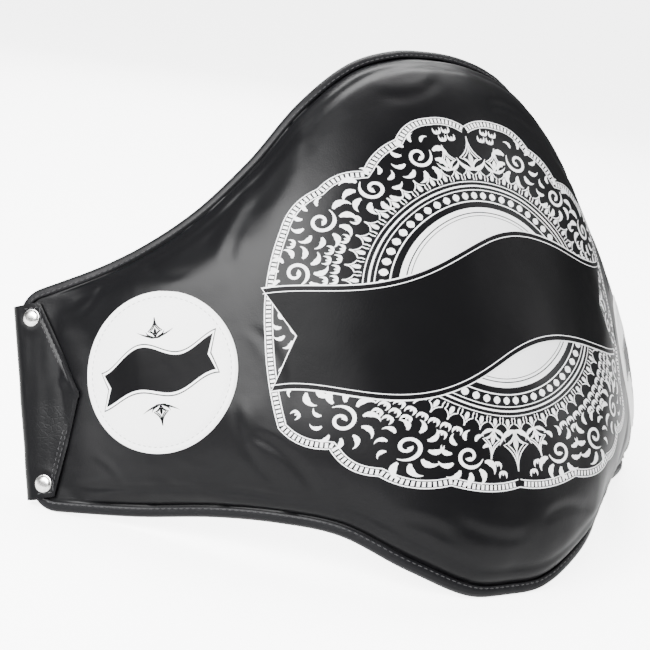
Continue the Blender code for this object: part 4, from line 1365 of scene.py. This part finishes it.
def make_rivets():
    cap = 6.5 * MM
    dome = [(0.0, 2.25 * MM), (1.6 * MM, 2.2 * MM), (3.2 * MM, 2.0 * MM), (4.6 * MM, 1.6 * MM),
            (5.6 * MM, 1.0 * MM), (5.9 * MM, 0.65 * MM), (6.15 * MM, 0.62 * MM),
            (cap, 0.35 * MM), (cap, 0.0), (5.8 * MM, -0.25 * MM), (1.7 * MM, -0.25 * MM),
            (1.7 * MM, -12.0 * MM), (0.0, -12.0 * MM)]
    washer = [(0.0, 1.0 * MM), (1.2 * MM, 0.95 * MM), (1.9 * MM, 0.5 * MM), (2.6 * MM, 0.9 * MM),
              (4.0 * MM, 1.35 * MM), (4.8 * MM, 1.0 * MM), (5.0 * MM, 0.3 * MM), (4.9 * MM, 0.0),
              (0.0, 0.0)]
    for side, word in SIDES:
        u = side * (HALF_WIDTH - RIVET_INSET)
        for sign, place_word in ((1, "upper"), (-1, "lower")):
            height = WRAP_MIDDLE + sign * RIVET_SPREAD / 2
            front = standing(u, height, FLAP_BACK + WRAP - 0.1 * MM, 1)
            back = standing(u, height, LEG_FRONT - WRAP, -1)
            rivet = spun(f"{word}_{place_word}_rivet_cap", dome, front, NICKEL)
            disc_piece = spun(f"{word}_{place_word}_rivet_back", washer, back, NICKEL)
            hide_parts(f"{word}_{place_word}_rivet")
            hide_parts(f"{word}_{place_word}_rivet_washer")
            for piece in (rivet, disc_piece):
                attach(piece, word + "_wing")


# ---- strap, tab and tongue --------------------------------------------------------------------------

STRAP_REST, TONGUE_REST = math.radians(8), math.radians(30)
STRAP_SHEET, ELASTIC, TAPE = 3.0 * MM, 2.5 * MM, 1.5 * MM
STRAP_HEIGHT, TAB_HEIGHT, TONGUE_HEIGHT = 0.088, 0.080, 0.078
ELASTIC_START, ELASTIC_LENGTH, ROOT_LENGTH = 0.012, 0.200, 0.040
TAB_LENGTH, TONGUE_LENGTH, TAPE_MARGIN = 0.100, 0.105, 0.006
PIVOT_OFFSET = LEG_FRONT - WRAP - 0.5 * MM - STRAP_SHEET / 2
PIVOT_OUT = HALF_WIDTH - 4 * MM


def band_frame(pivot, direction):
    along = np.array([math.cos(direction), math.sin(direction), 0.0])
    outer = np.array([-along[1], along[0], 0.0])
    if outer[1] < 0:
        outer = -outer
    return np.asarray(pivot, float), along, outer


def band_points(where, out, height, offset):
    pivot, along, outer = where
    rows = pivot + out[:, None] * along + offset[:, None] * outer
    rows[:, 2] += height
    return place(rows)


def band(name, where, start, length, low, thickness, tall, material, body, node,
         round_from=0.0, wave=0.0, columns=64, rows=40, flip=False):
    """Flat strip of leather, elastic or tape with rounded far corners and a slight waver."""
    def shape(a, b, front):
        out = start + length * a
        past = np.clip(a * length - (length - round_from), 0, round_from) if round_from else 0 * a
        cut = round_from - np.sqrt(np.maximum(round_from ** 2 - past ** 2, 0))
        half = tall / 2 - cut
        share = np.sin((b - 0.5) * math.pi)
        height = WRAP_MIDDLE + half * share
        edge = np.minimum(half - np.abs(half * share), np.minimum(a, 1 - a) * length)
        round_off = 0.30 * thickness * (1 - ease(edge / (0.9 * thickness)))
        ripple_here = wave * ripple(out * 55, height * 30, 71)
        offset = low + np.where(front, thickness - round_off, round_off) + ripple_here
        return band_points(where, out, height, offset), out, height

    piece = lattice(name, columns, rows, shape, material, -1 if flip else 1)
    piece.data.set_sharp_from_angle(angle=math.radians(60))
    if body:
        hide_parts(node)
        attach(piece, body)
    return piece


def band_stitches(name, where, body, path, offset, sign):
    """Row of stitches on a strip along (out, height) rows; sign is the face it shows on."""
    path = np.asarray(path, float)
    reach = reach_along(path)
    at = np.linspace(0, reach[-1], max(int(reach[-1] / (2 * MM)), 2))
    out, height = (np.interp(at, reach, path[:, i]) for i in range(2))
    line = band_points(where, out, WRAP_MIDDLE + height, 0 * out + offset)
    lift = band_points(where, out, WRAP_MIDDLE + height, 0 * out + offset + sign * MM) - line
    row = stitch_row(name, line, lift, THREAD, pitch=4.0 * MM, length=3.0 * MM)
    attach(row, body)


def box_path(near, far, tall):
    half = tall / 2
    return [(near, -half), (far, -half), (far, half), (near, half), (near, -half)]


def make_strap():
    half_sheet = STRAP_SHEET / 2
    strap_at = band_frame(pad_point(-PIVOT_OUT, 0.0, PIVOT_OFFSET), STRAP_REST)
    band("strap_leather_root", strap_at, -half_sheet, ROOT_LENGTH, -half_sheet, STRAP_SHEET,
         STRAP_HEIGHT, WRAP_BLACK, "strap", "strap_root", columns=24)
    band("strap_elastic", strap_at, ELASTIC_START, ELASTIC_LENGTH, half_sheet + FIT, ELASTIC,
         STRAP_HEIGHT, WEBBING, "strap", "elastic_strap", wave=0.25 * MM,
         columns=110)
    cross = [(ELASTIC_START + 4 * MM, -0.040), (ROOT_LENGTH - 5 * MM, 0.040),
             (ROOT_LENGTH - 5 * MM, -0.040), (ELASTIC_START + 4 * MM, 0.040)]
    box = box_path(ELASTIC_START + 4 * MM, ROOT_LENGTH - 5 * MM, 0.080)
    top = half_sheet + FIT + ELASTIC + 0.15 * MM
    for label, path in (("box", box), ("cross", cross)):
        band_stitches(f"strap_{label}_stitches", strap_at, "strap", path,
                      top, 1)
        band_stitches(f"strap_{label}_stitches_inside", strap_at, "strap", path,
                      -half_sheet - 0.1 * MM, -1)

    reach = ELASTIC_START + ELASTIC_LENGTH + 1.2 * MM + ELASTIC / 2
    pivot, along, outer = strap_at
    tab_at = band_frame(pivot + along * reach + outer * (half_sheet + FIT + ELASTIC / 2),
                        STRAP_REST)
    band("tab_leather", tab_at, -ELASTIC / 2, TAB_LENGTH, -ELASTIC / 2, ELASTIC, TAB_HEIGHT,
         WRAP_BLACK, "tab", "closing_tab", round_from=0.010, wave=0.15 * MM,
         columns=50)
    band("tab_hooks", tab_at, TAPE_MARGIN, TAB_LENGTH - 3 * TAPE_MARGIN,
         -ELASTIC / 2 - FIT - TAPE, TAPE, TAB_HEIGHT - 2 * TAPE_MARGIN, HOOKS,
         "tab", "tab_hook_tape", columns=44)
    edge = box_path(TAPE_MARGIN + 1.5 * MM, TAB_LENGTH - 2 * TAPE_MARGIN - 1.5 * MM,
                    TAB_HEIGHT - 2 * TAPE_MARGIN - 3 * MM)
    band_stitches("tab_stitches", tab_at, "tab", edge, ELASTIC / 2, 1)
    band_stitches("tab_stitches_inside", tab_at, "tab", edge,
                  -ELASTIC / 2 - FIT - TAPE, -1)

    seam_at = ELASTIC / 2 + 1.4 * MM
    sleeve = band("tab_seam_sleeve", tab_at, -seam_at - 8 * MM, 13.5 * MM + seam_at,
                  -ELASTIC / 2 - 0.6 * MM, ELASTIC + 1.2 * MM, STRAP_HEIGHT - 2 * MM, BINDING_BLACK,
                  None, None, columns=40)
    start, end = (band_points(tab_at, np.array([out]), np.array([WRAP_MIDDLE]), np.zeros(1))[0]
                  for out in (-4 * MM, 4 * MM))
    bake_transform(sleeve)

    tongue_at = band_frame(pad_point(PIVOT_OUT, 0.0, PIVOT_OFFSET), math.pi - TONGUE_REST)
    band("tongue_leather", tongue_at, -half_sheet, TONGUE_LENGTH, -half_sheet, STRAP_SHEET,
         TONGUE_HEIGHT, WRAP_BLACK, "tongue", "closing_tongue",
         round_from=0.010, wave=0.15 * MM, columns=52, flip=True)
    band("tongue_loops", tongue_at, 2 * TAPE_MARGIN, TONGUE_LENGTH - 4 * TAPE_MARGIN,
         half_sheet + FIT, TAPE, TONGUE_HEIGHT - 2 * TAPE_MARGIN, LOOPS,
         "tongue", "tongue_loop_tape", columns=44, flip=True)
    edge = box_path(2 * TAPE_MARGIN + 1.5 * MM, TONGUE_LENGTH - 2 * TAPE_MARGIN - 1.5 * MM,
                    TONGUE_HEIGHT - 2 * TAPE_MARGIN - 3 * MM)
    band_stitches("tongue_stitches", tongue_at, "tongue", edge,
                  half_sheet + FIT + TAPE, 1)
    band_stitches("tongue_stitches_inside", tongue_at, "tongue", edge,
                  -half_sheet, -1)


# ---- floor, light and camera -----------------------------------------------------------------------

WORLD_LIGHT, WORLD_SEEN, FLOOR_GLOW = 0.14, 14.0, 5.0
FLOOR_RADIUS = 40.0


def make_floor():
    bm = bmesh.new()
    bmesh.ops.create_circle(bm, cap_ends=True, segments=96, radius=FLOOR_RADIUS)
    mesh = mesh_from("studio_floor", bm)
    material, tree, shader, where = new_material("studio_floor", (0.93, 0.93, 0.93), 0.85,
                                                 spec=0.1)
    grain = noise(tree, where, 3.0, 2.0)
    link(tree, mix_colours(tree, grain.outputs["Fac"], (0.92, 0.92, 0.92), (0.94, 0.94, 0.94)),
         shader.inputs["Base Color"])
    seen = add_node(tree, "ShaderNodeLightPath").outputs["Is Camera Ray"]
    shader.inputs["Emission Color"].default_value = (1.0, 1.0, 1.0, 1.0)
    link(tree, maths(tree, "MULTIPLY", seen, FLOOR_GLOW), shader.inputs["Emission Strength"])
    floor = add_object("studio_floor", mesh, material)


def make_world():
    world = bpy.data.worlds.new("studio")
    bpy.context.scene.world = world
    world.use_nodes = True
    tree = world.node_tree
    light = tree.nodes["Background"]
    seen = add_node(tree, "ShaderNodeLightPath").outputs["Is Camera Ray"]
    light.inputs["Color"].default_value = (1.0, 1.0, 1.0, 1.0)
    link(tree, ramp(tree, seen, 0.0, 1.0, WORLD_LIGHT, WORLD_SEEN), light.inputs["Strength"])


def soft_light(name, spot, aim, width, tall, power):
    lamp = bpy.data.lights.new(name, "AREA")
    lamp.shape = "RECTANGLE"
    lamp.size, lamp.size_y = width, tall
    lamp.energy = power
    obj = bpy.data.objects.new(name, lamp)
    obj.location = spot
    obj.rotation_euler = (Vector(aim) - Vector(spot)).to_track_quat("-Z", "Y").to_euler()
    LOOKS.objects.link(obj)


def make_camera():
    roll = math.radians(9.10)
    spot = Vector((-0.6565, -0.8969, 0.4491))
    target = Vector((-0.0928, 0.0, 0.1562))
    ahead = (target - spot).normalized()
    right = ahead.cross(Vector((0, 0, 1))).normalized()
    up = right.cross(ahead)
    turned_right = right * math.cos(roll) + up * math.sin(roll)
    turned_up = up * math.cos(roll) - right * math.sin(roll)
    data = bpy.data.cameras.new("camera")
    data.lens = 81.5
    data.sensor_width = 36.0
    camera = bpy.data.objects.new("camera", data)
    camera.matrix_world = (Matrix.Translation(spot)
                           @ Matrix((turned_right, turned_up, -ahead)).transposed().to_4x4())
    LOOKS.objects.link(camera)
    bpy.context.scene.camera = camera


make_layers()
make_binding()
make_patches()
make_print()
make_wraps()
make_rivets()
make_strap()
make_floor()
make_world()
soft_light("key_light", (-1.9, -0.8, 1.8), (0, 0, 0.2), 2.2, 1.4, 310)
soft_light("top_light", (0.3, 0.9, 1.9), (0, 0, 0.25), 1.8, 0.7, 80)
soft_light("right_light", (1.9, -1.0, 1.3), (0, 0, 0.15), 0.7, 1.6, 30)
soft_light("back_light", (0.9, 2.2, 1.2), (0, 0, 0.15), 1.4, 1.0, 40)
make_camera()
